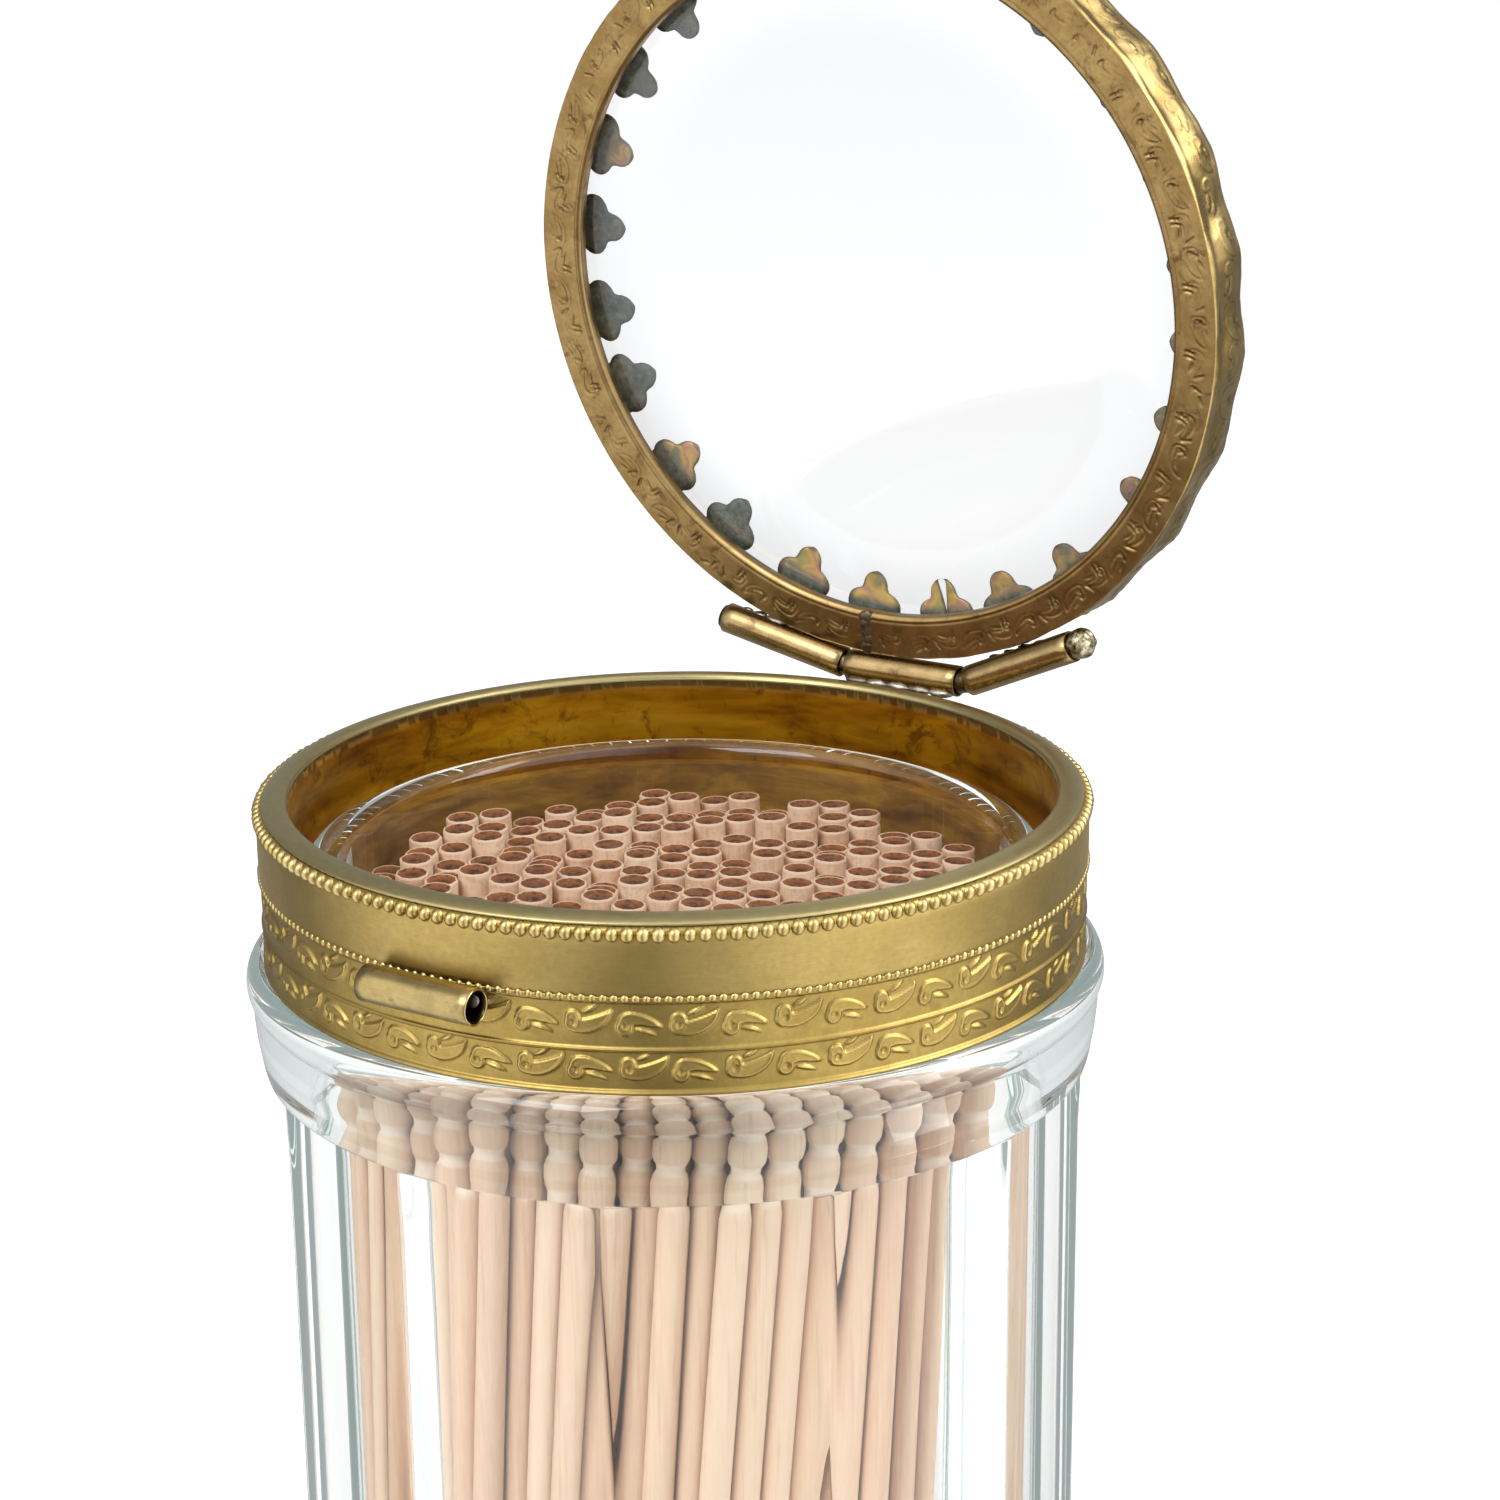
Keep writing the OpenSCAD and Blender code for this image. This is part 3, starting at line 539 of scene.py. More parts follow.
def jar_points():
    """Closed skin of the jar: outside from the rim down to the foot's middle, then inside
    from the floor's middle up to the rim, the outside drawn in to the panels between the
    foot and the ledge."""
    pitch = TURN / PANELS
    share = np.linspace(-1, 1, COLUMNS + 1)[:-1]
    bend = np.sign(share) * np.abs(share) ** 0.75
    angles = (PANEL_TURN + pitch * np.arange(PANELS)[:, None] + pitch / 2 * bend[None]).ravel()
    shoulder = [(25.75, LEDGE_TOP), (25.76, 65.6), (25.72, 64.6), (25.6, 63.4), (25.35, 61.9),
                (25.18, LEDGE_Z), (25.0, 59.6), (24.85, 58.0), (24.8, 56.9)]
    outside = (arc(*RIM, 90, 0, 12) + [(NECK_R, 68.3)] + arc(22.6, 68.2, 0.3, 180, 270, 4)
               + arc(*FLANGE, 90, -44, 16) + shoulder
               + [(RIDGE_R, 40), (RIDGE_R, 20), (RIDGE_R, 4), (RIDGE_R, FOOT_ROUND)]
               + arc(RIDGE_R - FOOT_ROUND, FOOT_ROUND, FOOT_ROUND, 0, -90, 9)[1:]
               + [(12, 0.0), (POLE, 0.0)])
    inside = ([(POLE, FLOOR_T), (10, FLOOR_T)]
              + arc(BORE_R - FOOT_ROUND, FLOOR_T + FOOT_ROUND, FOOT_ROUND, -90, 0, 9)
              + [(BORE_R, 30), (BORE_R, 62.2), (21.12, 63.0), (20.85, 64.1), (20.58, 65.1),
                 (NECK_BORE, LEDGE_TOP), (NECK_BORE, RIM[1])] + arc(*RIM, 180, 90, 12)[:-1])
    dense = np.concatenate([np.linspace(0, 1, 9) * 0.8 + LEDGE_Z - 0.5, [2.6, 2.8, FOOT_H, 3.3, 3.7]])
    outer = resample(outside, 4.0)
    extra = np.array([(np.interp(-z, -outer[:, 1], outer[:, 0]), z) for z in dense])
    wide = outer[:, 0] > SIDE_R
    outer = outer[~(wide & (outer[:, 1] > LEDGE_Z - 0.6) & (outer[:, 1] < LEDGE_Z + 0.35))]
    wide, high = outer[:, 0] > SIDE_R, outer[:, 1]
    side = np.vstack([outer[wide & (high >= FOOT_ROUND) & (high <= LEDGE_TOP)], extra])
    side = side[np.argsort(-side[:, 1])]
    top = outer[(high > LEDGE_TOP) | (~wide & (high > NECK_Z))]
    profile = np.vstack([top, side, outer[high < FOOT_ROUND]])
    points = lathe(np.vstack([profile, resample(inside, 4.0)]), angles)
    z = points[:len(profile), :, 2]
    r = np.linalg.norm(points[:len(profile), :, :2], axis=2)
    # The lesser of round and panel radius, with their corner softened: -k log(e^(-a/k) + e^(-b/k))
    soft, near = 0.16, 20
    panels = panel_radius(angles)[None]
    least = near - soft * np.log(np.exp((near - r) / soft) + np.exp((near - panels) / soft))
    cut = smooth(LEDGE_Z + 0.22, LEDGE_Z - 0.22, z) * smooth(FOOT_H - 0.3, FOOT_H + 0.3, z) * (r > SIDE_R)
    wanted = r + (np.minimum(least, r) - r) * cut
    points[:len(profile), :, :2] *= (wanted / np.maximum(r, TINY))[..., None]
    return points


jar = solid("jar", jar_points(), BODY_JAR, jar_clear, ["jar_body"], wrap_rows=True)
jar.visible_shadow = False


# Toothpicks

PICK_R, PICK_LEN, PICK_SPREAD = 1.05, 65.0, 1.4
ROWS, PICK_GAP, PICK_FOOT = 20, 0.06, FLOOR_T + 0.15
BUNDLE_R = NECK_BORE - PICK_R - 0.65
ROW_PITCH = 2 * BUNDLE_R / (ROWS - 1)
PICK_PITCH = ROW_PITCH / math.sin(math.radians(60))
FOOT_SHARE = (2 * PICK_R + PICK_GAP) / PICK_PITCH
WANDER = (PICK_PITCH - 2 * PICK_R) / 2 - PICK_GAP / 2
LEAN, LEAN_TURN, TWIST = 1.5, math.radians(213.8), math.radians(-13)
# Dished head, turned grooves and point of a toothpick: share of its radius, then millimetres
# below the head or, for the point, share of its length
HEAD = [(POLE, 0.30), (0.4, 0.26), (0.7, 0.15), (0.86, 0.03), (0.93, 0.0), (1, 0.08)]
GROOVES = [(1, 3.0), (1, 6.05), (0.93, 6.4), (0.77, 6.6), (0.76, 6.9), (0.90, 7.15), (1, 7.6), (1, 8.25),
           (0.92, 8.55), (0.77, 8.75), (0.76, 9.15), (0.90, 9.4), (0.99, 9.85), (0.99, 10.5),
           (0.92, 11.0), (0.77, 11.3), (0.76, 11.7), (0.88, 12.2), (1, 12.9)]
POINT = [(1, 0.6), (1, 0.86), (0.62, 0.95), (0.14, 1.0), (POLE, 1.0)]
# How deep in the bundle a pick's grooves can still be seen
SHOWN = 5.2


def tone_of(row, i):
    """A pick's own tone, 0..1."""
    return (1 + scatter(row * 3 + 5, i * 7 + 2)) / 2


def pick_row(row, sides=10):
    """All toothpicks of a row: each is its turned profile on a straight line from its head in
    a hexagonal pattern to its foot in a smaller one that is twisted and moved to one side.
    Those inside the bundle leave out the grooves, which nothing shows."""
    y = (row - (ROWS + 1) / 2) * ROW_PITCH
    half = math.floor(BUNDLE_R / PICK_PITCH) + 1
    angles = ring_angles(sides)
    plain, carved = ([], [], [], []), ([], [], [], [])
    for i in range(-half, half + 1):
        x = (i + (row % 2) / 2) * PICK_PITCH
        out = math.hypot(x, y)
        if out > BUNDLE_R + PICK_R / 4:
            continue
        wander = WANDER * (1 + scatter(row + 20, i)) / 2
        head = np.array([x, y]) + turned(wander, 0, math.radians(180 * scatter(row, i + 40)))
        foot = FOOT_SHARE * np.array(turned(x, y, TWIST)) + turned(LEAN, 0, LEAN_TURN)
        length = PICK_LEN + PICK_SPREAD / 2 * scatter(row + 7, i + 13)
        drift = head - foot
        tilt = math.asin(np.linalg.norm(drift) / PICK_LEN)
        way = math.atan2(drift[1], drift[0])
        outer = out > BUNDLE_R - SHOWN
        profile = np.array([(s, length - d) for s, d in HEAD + (GROOVES if outer else [])]
                           + [(s, length * (1 - d)) for s, d in POINT])
        unit = lathe(profile * (PICK_R, 1), angles + 2 * tone_of(row, i))
        u, w = turned(unit[..., 0], unit[..., 2], -tilt)
        u, v = turned(u, unit[..., 1], way)
        for pile, item in zip(carved if outer else plain, (
                stacked(u, v, w) + [*foot, PICK_FOOT], np.full(u.shape, tone_of(row, i)),
                spread(length - profile[:, 1], u), spread(profile[:, 0], u))):
            pile.append(item)
    piles = [[np.array(pile) for pile in group] for group in (plain, carved) if group[0]]
    points, tone, down, share = ([group[k] for group in piles] for k in range(4))
    return points, {"tone": tone, "down": down, "share": share}


for row in range(1, ROWS + 1):
    points, marks = pick_row(row)
    solid(f"toothpicks_{row:02d}", points, BODY_JAR, birch, [f"pick_row_{row:02d}"],
          marks=marks)


# Collar

SLEEVE_IN, BAND_IN = 23.13, 24.1
# Heights from the collar's top: the belt's lower edge, the cord on it and the line that parts
# the two foliage bands, then the top and bottom of each band's ground
BELT_LOW, CORD_Z, DIVIDER = -4.42, -4.505, -7.53
LEAVES = [(-4.80, -7.44), (-7.62, -9.90)]
LEAF_FLOOR = 24.79
PAIRS = 27

# The two embossed scrolls in millimetres from their left end and the band's middle: a body
# and a leaflet as strokes of (x, y, half width), and a round head and its eye as (x, y, radius)
CREST = {"body": [(0.52, 0.12, 0.42), (0.66, 0.38, 0.42), (1.25, 0.44, 0.33), (1.88, 0.27, 0.24),
                  (2.31, 0.10, 0.13), (2.54, 0.0, 0.02)],
         "leaflet": [(1.10, -0.15, 0.08), (1.60, -0.24, 0.14), (2.20, -0.48, 0.02)],
         "head": (0.48, -0.08, 0.48), "eye": (0.50, 0.0, 0.17)}
BOAT = {"body": [(0.54, 0.08, 0.50), (0.95, -0.05, 0.42), (1.45, 0.02, 0.42), (2.05, 0.28, 0.36),
                 (2.45, 0.60, 0.22), (2.72, 0.96, 0.03)],
        "leaflet": [(1.06, 0.74, 0.05), (1.47, 0.94, 0.12), (1.92, 1.20, 0.02)],
        "head": (0.52, 0.42, 0.44), "eye": (0.56, 0.12, 0.18)}


def stroke_gap(x, y, knots):
    """Distance in millimetres from a stroke's edge, less than 0 inside it: the least, over
    the stroke's straight pieces, of the distance to the middle line less the half width."""
    best = np.full(x.shape, 9.0)
    path = curve(knots, 3)
    for a, b in zip(path[:-1], path[1:]):
        way = b[:2] - a[:2]
        t = np.clip(((x - a[0]) * way[0] + (y - a[1]) * way[1]) / (way @ way), 0, 1)
        gap = np.hypot(x - a[0] - t * way[0], y - a[1] - t * way[1])
        best = np.minimum(best, gap - (a[2] + t * (b[2] - a[2])))
    return best


def scrolls(along, up, pitch, shift):
    """The two scrolls by turns along a band, one to each pitch: distances from the edges of
    body, leaflet and eye, and each scroll's own number."""
    number = np.floor(along / pitch + shift)
    size = pitch / (math.pi * COLLAR_R / PAIRS)
    x = (along / pitch + shift - number) * pitch / size
    y = up / size + scatter(number, 5 + shift) * 0.05
    body, leaflet, eye = (np.full(x.shape, 9.0) for _ in range(3))
    for parity, motif in ((0, BOAT), (1, CREST)):
        mine = (number.astype(int) % 2) == parity
        u, v = x[mine], y[mine]
        head = np.hypot(u - motif["head"][0], v - motif["head"][1]) - motif["head"][2]
        body[mine] = np.minimum(stroke_gap(u, v, motif["body"]), head)
        leaflet[mine] = stroke_gap(u, v, motif["leaflet"])
        eye[mine] = np.hypot(u - motif["eye"][0], v - motif["eye"][1]) - motif["eye"][2]
    return body * size, leaflet * size, eye * size, number


def ridge(gap, place, width):
    """A rounded ridge along the line that lies at `place` from an edge."""
    return np.exp(-((gap - place) / width) ** 2)


def foliage(along, up, shift):
    """Height of the scrolls, 0 on the ground and 1 at the top: low bodies with a raised edge
    and a dished eye, and rounded leaflets. Also their tone: painted shade round the outline and
    round the eye, and painted highlight along the raised edge and on the leaflets."""
    body, leaflet, eye, number = scrolls(along, up, math.pi * COLLAR_R / PAIRS, shift)
    worn = 0.85 + 0.15 * scatter(number, 11)
    plateau = smooth(0.05, -0.07, body)
    height = plateau * (0.55 + 0.15 * smooth(0, -0.4, body)) + 0.38 * ridge(body, -0.11, 0.06)
    height = height - 0.4 * plateau * smooth(0.08, -0.1, eye) + 0.18 * plateau * ridge(eye, 0.07, 0.05)
    height = np.maximum(height * worn, 0.95 * worn * np.sqrt(smooth(0.03, -0.13, leaflet)))
    edge = np.minimum(body, leaflet)
    # Painted shade just outside the outline and round the eye, painted highlight on the raised edge and the
    # leaflets
    tone = PLAIN - 0.26 * ridge(edge, 0.06, 0.05) - 0.15 * plateau * ridge(eye, -0.02, 0.08)
    tone = tone + 0.45 * ridge(body, -0.1, 0.06) * worn + 0.45 * smooth(-0.02, -0.08, leaflet)
    return height, tone


def backed(front, tone, back, angles):
    """Closes an embossed or engraved grid with the two corners of its back, which are plain ground with
    neither painted shade nor painted highlight.
    """
    tone = np.vstack([tone, np.full((len(back), len(angles)), PLAIN)])
    return np.concatenate([front, lathe(back, angles)]), {"relief": tone}


def band_strip(name, top, low, leaf, shift):
    """One ornamental strip of the collar: its outside is a grid over height and angle, raised
    by the foliage, closed by a top, an inside and an underside."""
    angles = ring_angles(2400)
    middle = (leaf[0] + leaf[1]) / 2 - 0.03
    a, h = np.meshgrid(angles * COLLAR_R, np.linspace(top, low, 36))
    floor = smooth(leaf[0] + 0.09, leaf[0] - 0.09, h) * smooth(leaf[1] - 0.09, leaf[1] + 0.09, h)
    raised, tone = foliage(a, h - middle, shift)
    radius = COLLAR_R - (COLLAR_R - LEAF_FLOOR) * floor * (1 - raised)
    # Painted shade on the slopes where the ground steps down to the sunk floor
    tone = np.where(floor > 0.95, tone, PLAIN - 0.8 * floor * (1 - floor))
    points, marks = backed(polar(radius, angles, COLLAR_TOP + h), tone,
                           [(BAND_IN, COLLAR_TOP + low), (BAND_IN, COLLAR_TOP + top)], angles)
    points += 0.012 * ripple(points, 3.0, 7)[..., None] * [1, 1, 0]
    solid(name, points, BODY_JAR, leaf_brass, ["collar_band"], wrap_rows=True,
          marks=marks, weld=False)


band_strip("upper_foliage", BELT_LOW, DIVIDER, LEAVES[0], 0.585)
band_strip("lower_foliage", DIVIDER, COLLAR_LOW - COLLAR_TOP, LEAVES[1], 1.5425)
belt = [(BAND_IN, -0.42), (24.5, -0.44), (24.8, -0.5), (24.93, -0.62), (24.94, -1.12), (24.98, -1.28),
        (25.01, -1.39), (25.03, -2.4), (25.03, -3.4), (COLLAR_R, BELT_LOW), (BAND_IN, BELT_LOW)]
belt = resample([(r, COLLAR_TOP + z) for r, z in belt], 0.45)
solid("plain_belt", lathe(belt, ring_angles(480)), BODY_JAR, belt_brass,
      ["collar_band"], wrap_rows=True)


def beads(name, count, radius, ring_r, z, squash, rows, cols, replaces=()):
    """Row of beads: one small globe repeated at even angles round the collar, no two quite
    the same size."""
    unit = globe(rows, cols)
    size = (radius * (1 + 0.05 * scatter(np.arange(count), 3)))[:, None, None]
    x, y = turned(ring_r + unit[..., 0] * size, unit[..., 1] * size * squash,
                  ring_angles(count)[:, None, None])
    points = stacked(x, y, z + unit[..., 2] * size)
    solid(name, points, BODY_JAR, bead_brass, replaces)


beads("bead_ring", 185, 0.44, 24.84, COLLAR_TOP - 0.865, 0.94, 7, 10, ["bead_row"])
beads("bead_cord", 264, 0.27, 24.85, COLLAR_TOP + CORD_Z, 1.08, 6, 8)

lip = [(23.13, -0.42), (23.15, -0.24), (23.24, -0.1), (23.42, -0.02), (23.62, 0.0), (23.82, -0.01),
       (24.05, -0.05), (24.28, -0.12), (24.48, -0.2), (24.62, -0.29), (24.69, -0.38), (24.66, -0.44),
       (24.12, -0.46)]
sleeve = resample([(r, COLLAR_TOP + z) for r, z in lip] + [
    (BAND_IN, 76.0), (BAND_IN, COLLAR_LOW), (SLEEVE_IN, COLLAR_LOW), (SLEEVE_IN, 72),
    (SLEEVE_IN, 77.6)], 0.7)
points = lathe(sleeve, ring_angles(480))
points += 0.05 * ripple(points, 9.0, 21)[..., None] * [1, 1, 0] * (points[..., 2:] > 77.7)
solid("sleeve", points, BODY_JAR, amber_brass, ["collar_sleeve"], wrap_rows=True,
      marks={"lip": spread(smooth(77.3, 77.6, sleeve[:, 1]), points)})


def tube(outer, bore, length, sides=40, dent=0.0, rim=0.9):
    """Thin tube along Z: outside, end, inside and end as one closed profile, its far mouth
    pressed in on one side by `dent`. Also its tone: painted shade inside the bore, and `rim` at
    the ends, a painted highlight where it is high and painted shade where it is low."""
    lipped, steps, dented = 0.05, 14, 3.9
    heights = np.linspace(lipped, length - lipped, steps)
    profile = ([(outer, z) for z in heights]
               + [(outer - lipped, length), (bore + lipped, length)]
               + [(bore, z) for z in heights[::-1]]
               + [(bore + lipped, 0), (outer - lipped, 0)])
    angles = ring_angles(sides)
    points = lathe(profile, angles)
    far = smooth(length - 1.2, length, points[..., 2])
    points[..., :2] *= (1 - dent * far * ridge(angles, dented, 0.35))[..., None]
    points[..., :2] *= 1 - (0.006 + 0.006 * ripple(points, 2.5, 5))[..., None]
    # Tone by row: plain outside, `rim` on both ends, and 0 in the bore for painted shade
    return points, {"relief": spread([PLAIN] * steps + [rim] * 2 + [0] * steps + [rim] * 2, points)}


def solder(name, node, body, finish, seed, lumps):
    """One piece of solder, made of lumps that are each a middle and three radii."""
    grids = [blob(middle, radii, seed + k) for k, (middle, radii) in enumerate(lumps)]
    if body == BODY_LID:
        grids = [swing(grid) for grid in grids]
    solid(name, grids, body, finish, [node])


CATCH_Y, CATCH_Z = -26.08, 72.8995
# The catch keeps the default `rim`: a painted highlight round its mouths, and painted shade in its bore
points, marks = tube(1.08, 0.92, 7.6, dent=0.07)
solid("catch", along_x(points, (-3.2, CATCH_Y, CATCH_Z)), BODY_JAR, tube_brass,
      ["catch_tube"], wrap_rows=True, marks=marks)
solder("catch_solder_lumps", "catch_solder", BODY_JAR, solder_grey, 30,
       [((x, -25.02, 72.75), (0.75, 0.32, 0.7)) for x in (-2.2, -0.9, 0.5, 1.9, 3.3)])


# Hinge

MID_LEFT, MID_RIGHT = -2.845, 5.505
# Each outer arm: where the wire bends, which side it goes to and how far it is splayed
LEFT, RIGHT = (-3.035, -1, 12.3), (5.885, 1, 24.6)
KNUCKLE_R, KNUCKLE_BORE, WIRE_R, WIRE_END = 1.03, 0.85, 0.8, 1.0
# Lengths from the bends: the wire's left and right tail, and where its right end is crumpled
PIN_LEFT, PIN_RIGHT, CRUMPLED = 9.8, 9.5, 8.8


def on_arm(arm, along):
    """The place on an arm of the hinge that lies so far along from its bend."""
    bend, side, splay = arm
    a = math.radians(splay)
    return np.array([bend + side * along * math.cos(a), HINGE_Y - along * math.sin(a), HINGE_Z])


def knuckle(name, node, body, points, marks):
    """One tube of the hinge."""
    solid(name, points, body, hinge_brass, [node], wrap_rows=True, marks=marks)


# `rim` 0 here and 0 and 0.1 below paint shade on the knuckles' ends, where they meet one another
points, marks = tube(KNUCKLE_R, KNUCKLE_BORE, MID_RIGHT - MID_LEFT, rim=0)
knuckle("knuckle_middle", "hinge_knuckle_middle", BODY_JAR,
        along_x(points, (MID_LEFT, HINGE_Y, HINGE_Z)), marks)
for name, arm, length, gap, dent, rim in (("left", LEFT, 9.3, 0.24, 0, 0),
                                          ("right", RIGHT, 8.4, 0.44, 0.05, 0.1)):
    points, marks = tube(KNUCKLE_R, WIRE_R, length, dent=dent, rim=rim)
    points = along_x(points + [0, 0, gap], on_arm(arm, 0), -arm[2], mirrored=arm[1] < 0)
    knuckle(f"knuckle_{name}", f"hinge_knuckle_{name}", BODY_LID, swing(points), marks)


def pin_points():
    """Wire pin: a round section carried from the left tail through both bends to the right
    tail, where it swells into a crumpled dome. Also how far each point belongs to that end."""
    tail = on_arm(RIGHT, PIN_RIGHT)
    path = resample([on_arm(LEFT, PIN_LEFT), on_arm(LEFT, 0.35), on_arm(LEFT, 0) + [0.3, 0, 0],
                     on_arm(RIGHT, 0) - [0.4, 0, 0], on_arm(RIGHT, 0.5), tail], 0.4)
    dome = np.linspace(0, 1, 12)[1:]
    way = (tail - path[-2]) / np.linalg.norm(tail - path[-2])
    path = np.vstack([path[0] - POLE * way, path, tail + way * dome[:, None] * 0.85])

    def near_tail(places, full):
        """How far places lie in the crumpled stretch at the right, all of it from `full` on."""
        out = np.linalg.norm(places - on_arm(RIGHT, 0), axis=-1) * (places[..., 0] > RIGHT[0])
        return smooth(CRUMPLED, full, out)

    radii = WIRE_R + (WIRE_END - WIRE_R) * near_tail(path, 9.3)
    radii[-len(dome):] = WIRE_END * np.sqrt(np.clip(1 - dome ** 2.4, 0, 1))
    radii[-1] = radii[0] = POLE
    points = sweep(path, radii, 24)
    end = near_tail(points, 9.2)
    points += (0.2 * ripple(points, 0.8, 77, 9) * end)[..., None] * way
    return points, end


points, end = pin_points()
solid("pin", swing(points), BODY_LID, wire, ["hinge_pin"], marks={"end": end})

solder("knuckle_solder_collar", "hinge_solder_collar", BODY_JAR, solder_grey, 50,
       [((x, 25.05, 77.75), (0.9, 0.42, 0.3)) for x in (-1.9, -0.4, 1.2, 2.8, 4.4)])
# Solder between each outer knuckle and the lid's wall: lumps along the knuckle's side, each
# its distance from the bend and its size
for name, arm, seed, places in (
        ("left", LEFT, 60, [(2.2, 0.5), (3.1, 0.75), (4.4, 0.6), (5.6, 0.9), (6.9, 0.6), (7.9, 0.45)]),
        ("right", RIGHT, 70, [(1.2, 0.6), (2.3, 0.8), (3.5, 0.8), (4.7, 0.8), (5.9, 0.7), (6.9, 0.5)])):
    a = math.radians(arm[2])
    beside = [arm[1] * 0.9 * math.sin(a), -0.95 * math.cos(a), 0.35]
    solder(f"solder_{name}", f"hinge_solder_{name}", BODY_LID, solder_grey, seed,
           [(on_arm(arm, along) + beside, (size, size * 0.45, size * 0.5)) for along, size in places])


# Lid

RING_IN, RING_OUT, RING_T = 21.7, 24.5, 0.8
GLASS_R, GLASS_Z, GLASS_TOP = 23.9, 78.95, 81.95
PRONGS, PRONG_FIRST, PRONG_TIP, PRONG_SPLIT = 24, math.radians(51.1), 19.7, 2
# Degrees that the first prongs are bent to one side
PRONG_BENT = [3.4, 2.7, 0.2, -0.7, -1.5, 0, -0.4, 1.3, -0.7, -0.3, -0.9, -1.5, -1.6]
SEAM = math.radians(93)
# Middle of the ring's engraving, and how many pairs of scrolls go round ring and wall
RING_MIDDLE, RING_PAIRS, WALL_PAIRS = 23.2, 35, 30
# The short strokes between the ring's scrolls: their place on the length that one pair of
# scrolls takes, their slant and their middle radius
STROKES_SPAN = 4.16
RING_STROKES = [(1.72, 0.25, 22.85), (2.05, 0.2, 22.85), (3.5, -0.5, 23.55), (3.68, 0.45, 23.55)]


def relieve(points):
    """Room for the middle knuckle: points nearer than 1.3 to the hinge axis move straight
    away from it, beside the knuckle's length."""
    y, z = points[..., 1] - HINGE_Y, points[..., 2] - HINGE_Z
    beside = smooth(MID_LEFT - 0.9, MID_LEFT - 0.3, points[..., 0]) * smooth(
        MID_RIGHT + 1.2, MID_RIGHT + 0.5, points[..., 0])
    grow = 1 + (np.maximum(1.3 / np.maximum(np.hypot(y, z), TINY), 1) - 1) * beside
    return stacked(points[..., 0], HINGE_Y + y * grow, HINGE_Z + z * grow)


def ring_points():
    """Engraved ring: underside, rims and top as one closed profile, its underside cut by the
    outlines of the scrolls and by pairs of short strokes, with the step of the seam."""
    angles = ring_angles(2100)
    r = np.concatenate([[RING_IN, RING_IN + 0.02], np.linspace(RING_IN + 0.22, RING_OUT - 0.02, 32),
                        [RING_OUT]])
    drop = np.interp(r, [RING_IN, RING_IN + 0.05, RING_IN + 0.22, 99], [0.24, 0.14, 0, 0])
    a, radius = np.meshgrid(angles, r)
    pair = TURN * RING_MIDDLE / RING_PAIRS
    body, leaflet, eye, number = scrolls(a * RING_MIDDLE, radius - RING_MIDDLE, pair / 2, 0.3)
    worn = 0.55 + 0.45 * scatter(number, 2)
    flat = polar(radius, a, 0)
    fade = smooth(-0.5, 0.3, ripple(flat, 2.5, 15))
    depth = 0.08 * ridge(body, 0.0, 0.065) * worn * (0.35 + 0.65 * fade)
    depth += 0.07 * ridge(eye, 0.0, 0.06) * worn + 0.08 * smooth(0.03, -0.06, leaflet) * fade
    depth += 0.06 * ridge(body, -0.26, 0.05) * (1 - fade)
    at = (a * RING_MIDDLE / pair) % 1 * STROKES_SPAN
    for place, slant, middle in RING_STROKES:
        lean = place + (radius - RING_STROKES[0][2]) * slant
        depth += 0.09 * smooth(0.12, 0.03, np.abs(at - lean)) * (0.3 + 0.7 * fade) * smooth(
            0.4, 0.2, np.abs(radius - middle))
    depth = np.minimum(depth, 0.14) + 0.07 * ridge(radius, RING_IN + 0.42, 0.05)
    depth *= smooth(RING_IN + 0.12, RING_IN + 0.3, radius) * smooth(RING_OUT - 0.05, RING_OUT - 0.3, radius)
    off_seam = (a - SEAM + math.pi) % TURN - math.pi
    notch = np.exp(-(off_seam * 23 / 0.16) ** 2)
    step = 0.1 * smooth(0, 0.01, off_seam) * smooth(0.3, 0.0, off_seam)
    z = LID_Z + drop[:, None] + depth + 0.3 * notch + step
    grime = smooth(0.55, 0.1, np.abs(off_seam - 0.25)) * smooth(23.1, 24.2, radius) * smooth(
        -0.2, 0.5, ripple(flat, 1.4, 18))
    # Tone: painted shade in the engraved lines, a dark seam notch, real grime beside the seam, and painted
    # highlight along the inner rim and beside the scrolls' outlines
    tone = PLAIN - 0.3 * np.clip(depth / 0.12, 0, 1) - 0.4 * notch - 0.4 * grime + 0.3 * smooth(
        RING_IN + 0.35, RING_IN + 0.1, radius) + 0.15 * ridge(np.minimum(body, leaflet), 0.1, 0.06) * fade
    points, marks = backed(polar(radius, a, z), tone,
                           [(RING_OUT, LID_Z + RING_T), (RING_IN, LID_Z + RING_T)], angles)
    points[..., 2] += 0.02 * ripple(points, 6, 12) * (points[..., 2] < LID_Z + 0.5)
    return swing(relieve(points)), marks


points, marks = ring_points()
solid("ring", points, BODY_LID, ring_brass, ["lid_ring"], wrap_rows=True,
      marks=marks, weld=False)


def facet(angles):
    """How far the wall lies inside its round: a polygon with softened corners, one to each
    prong, as the gap between a chord and its arc, uneven from side to side."""
    pitch = TURN / PRONGS
    at = (angles - PRONG_FIRST) / pitch
    number = np.floor(at)
    t = at - number
    chord = COLLAR_R * (1 - math.cos(pitch / 2))
    side = chord * (1.15 + 0.35 * scatter(number % PRONGS, 8)) * (
        1.8 * t * (1 - t) + 0.55 * np.sin(math.pi * t) ** 2)
    return side + 0.05 * smooth(0.2, 0.5, t) * smooth(0.8, 0.5, t)


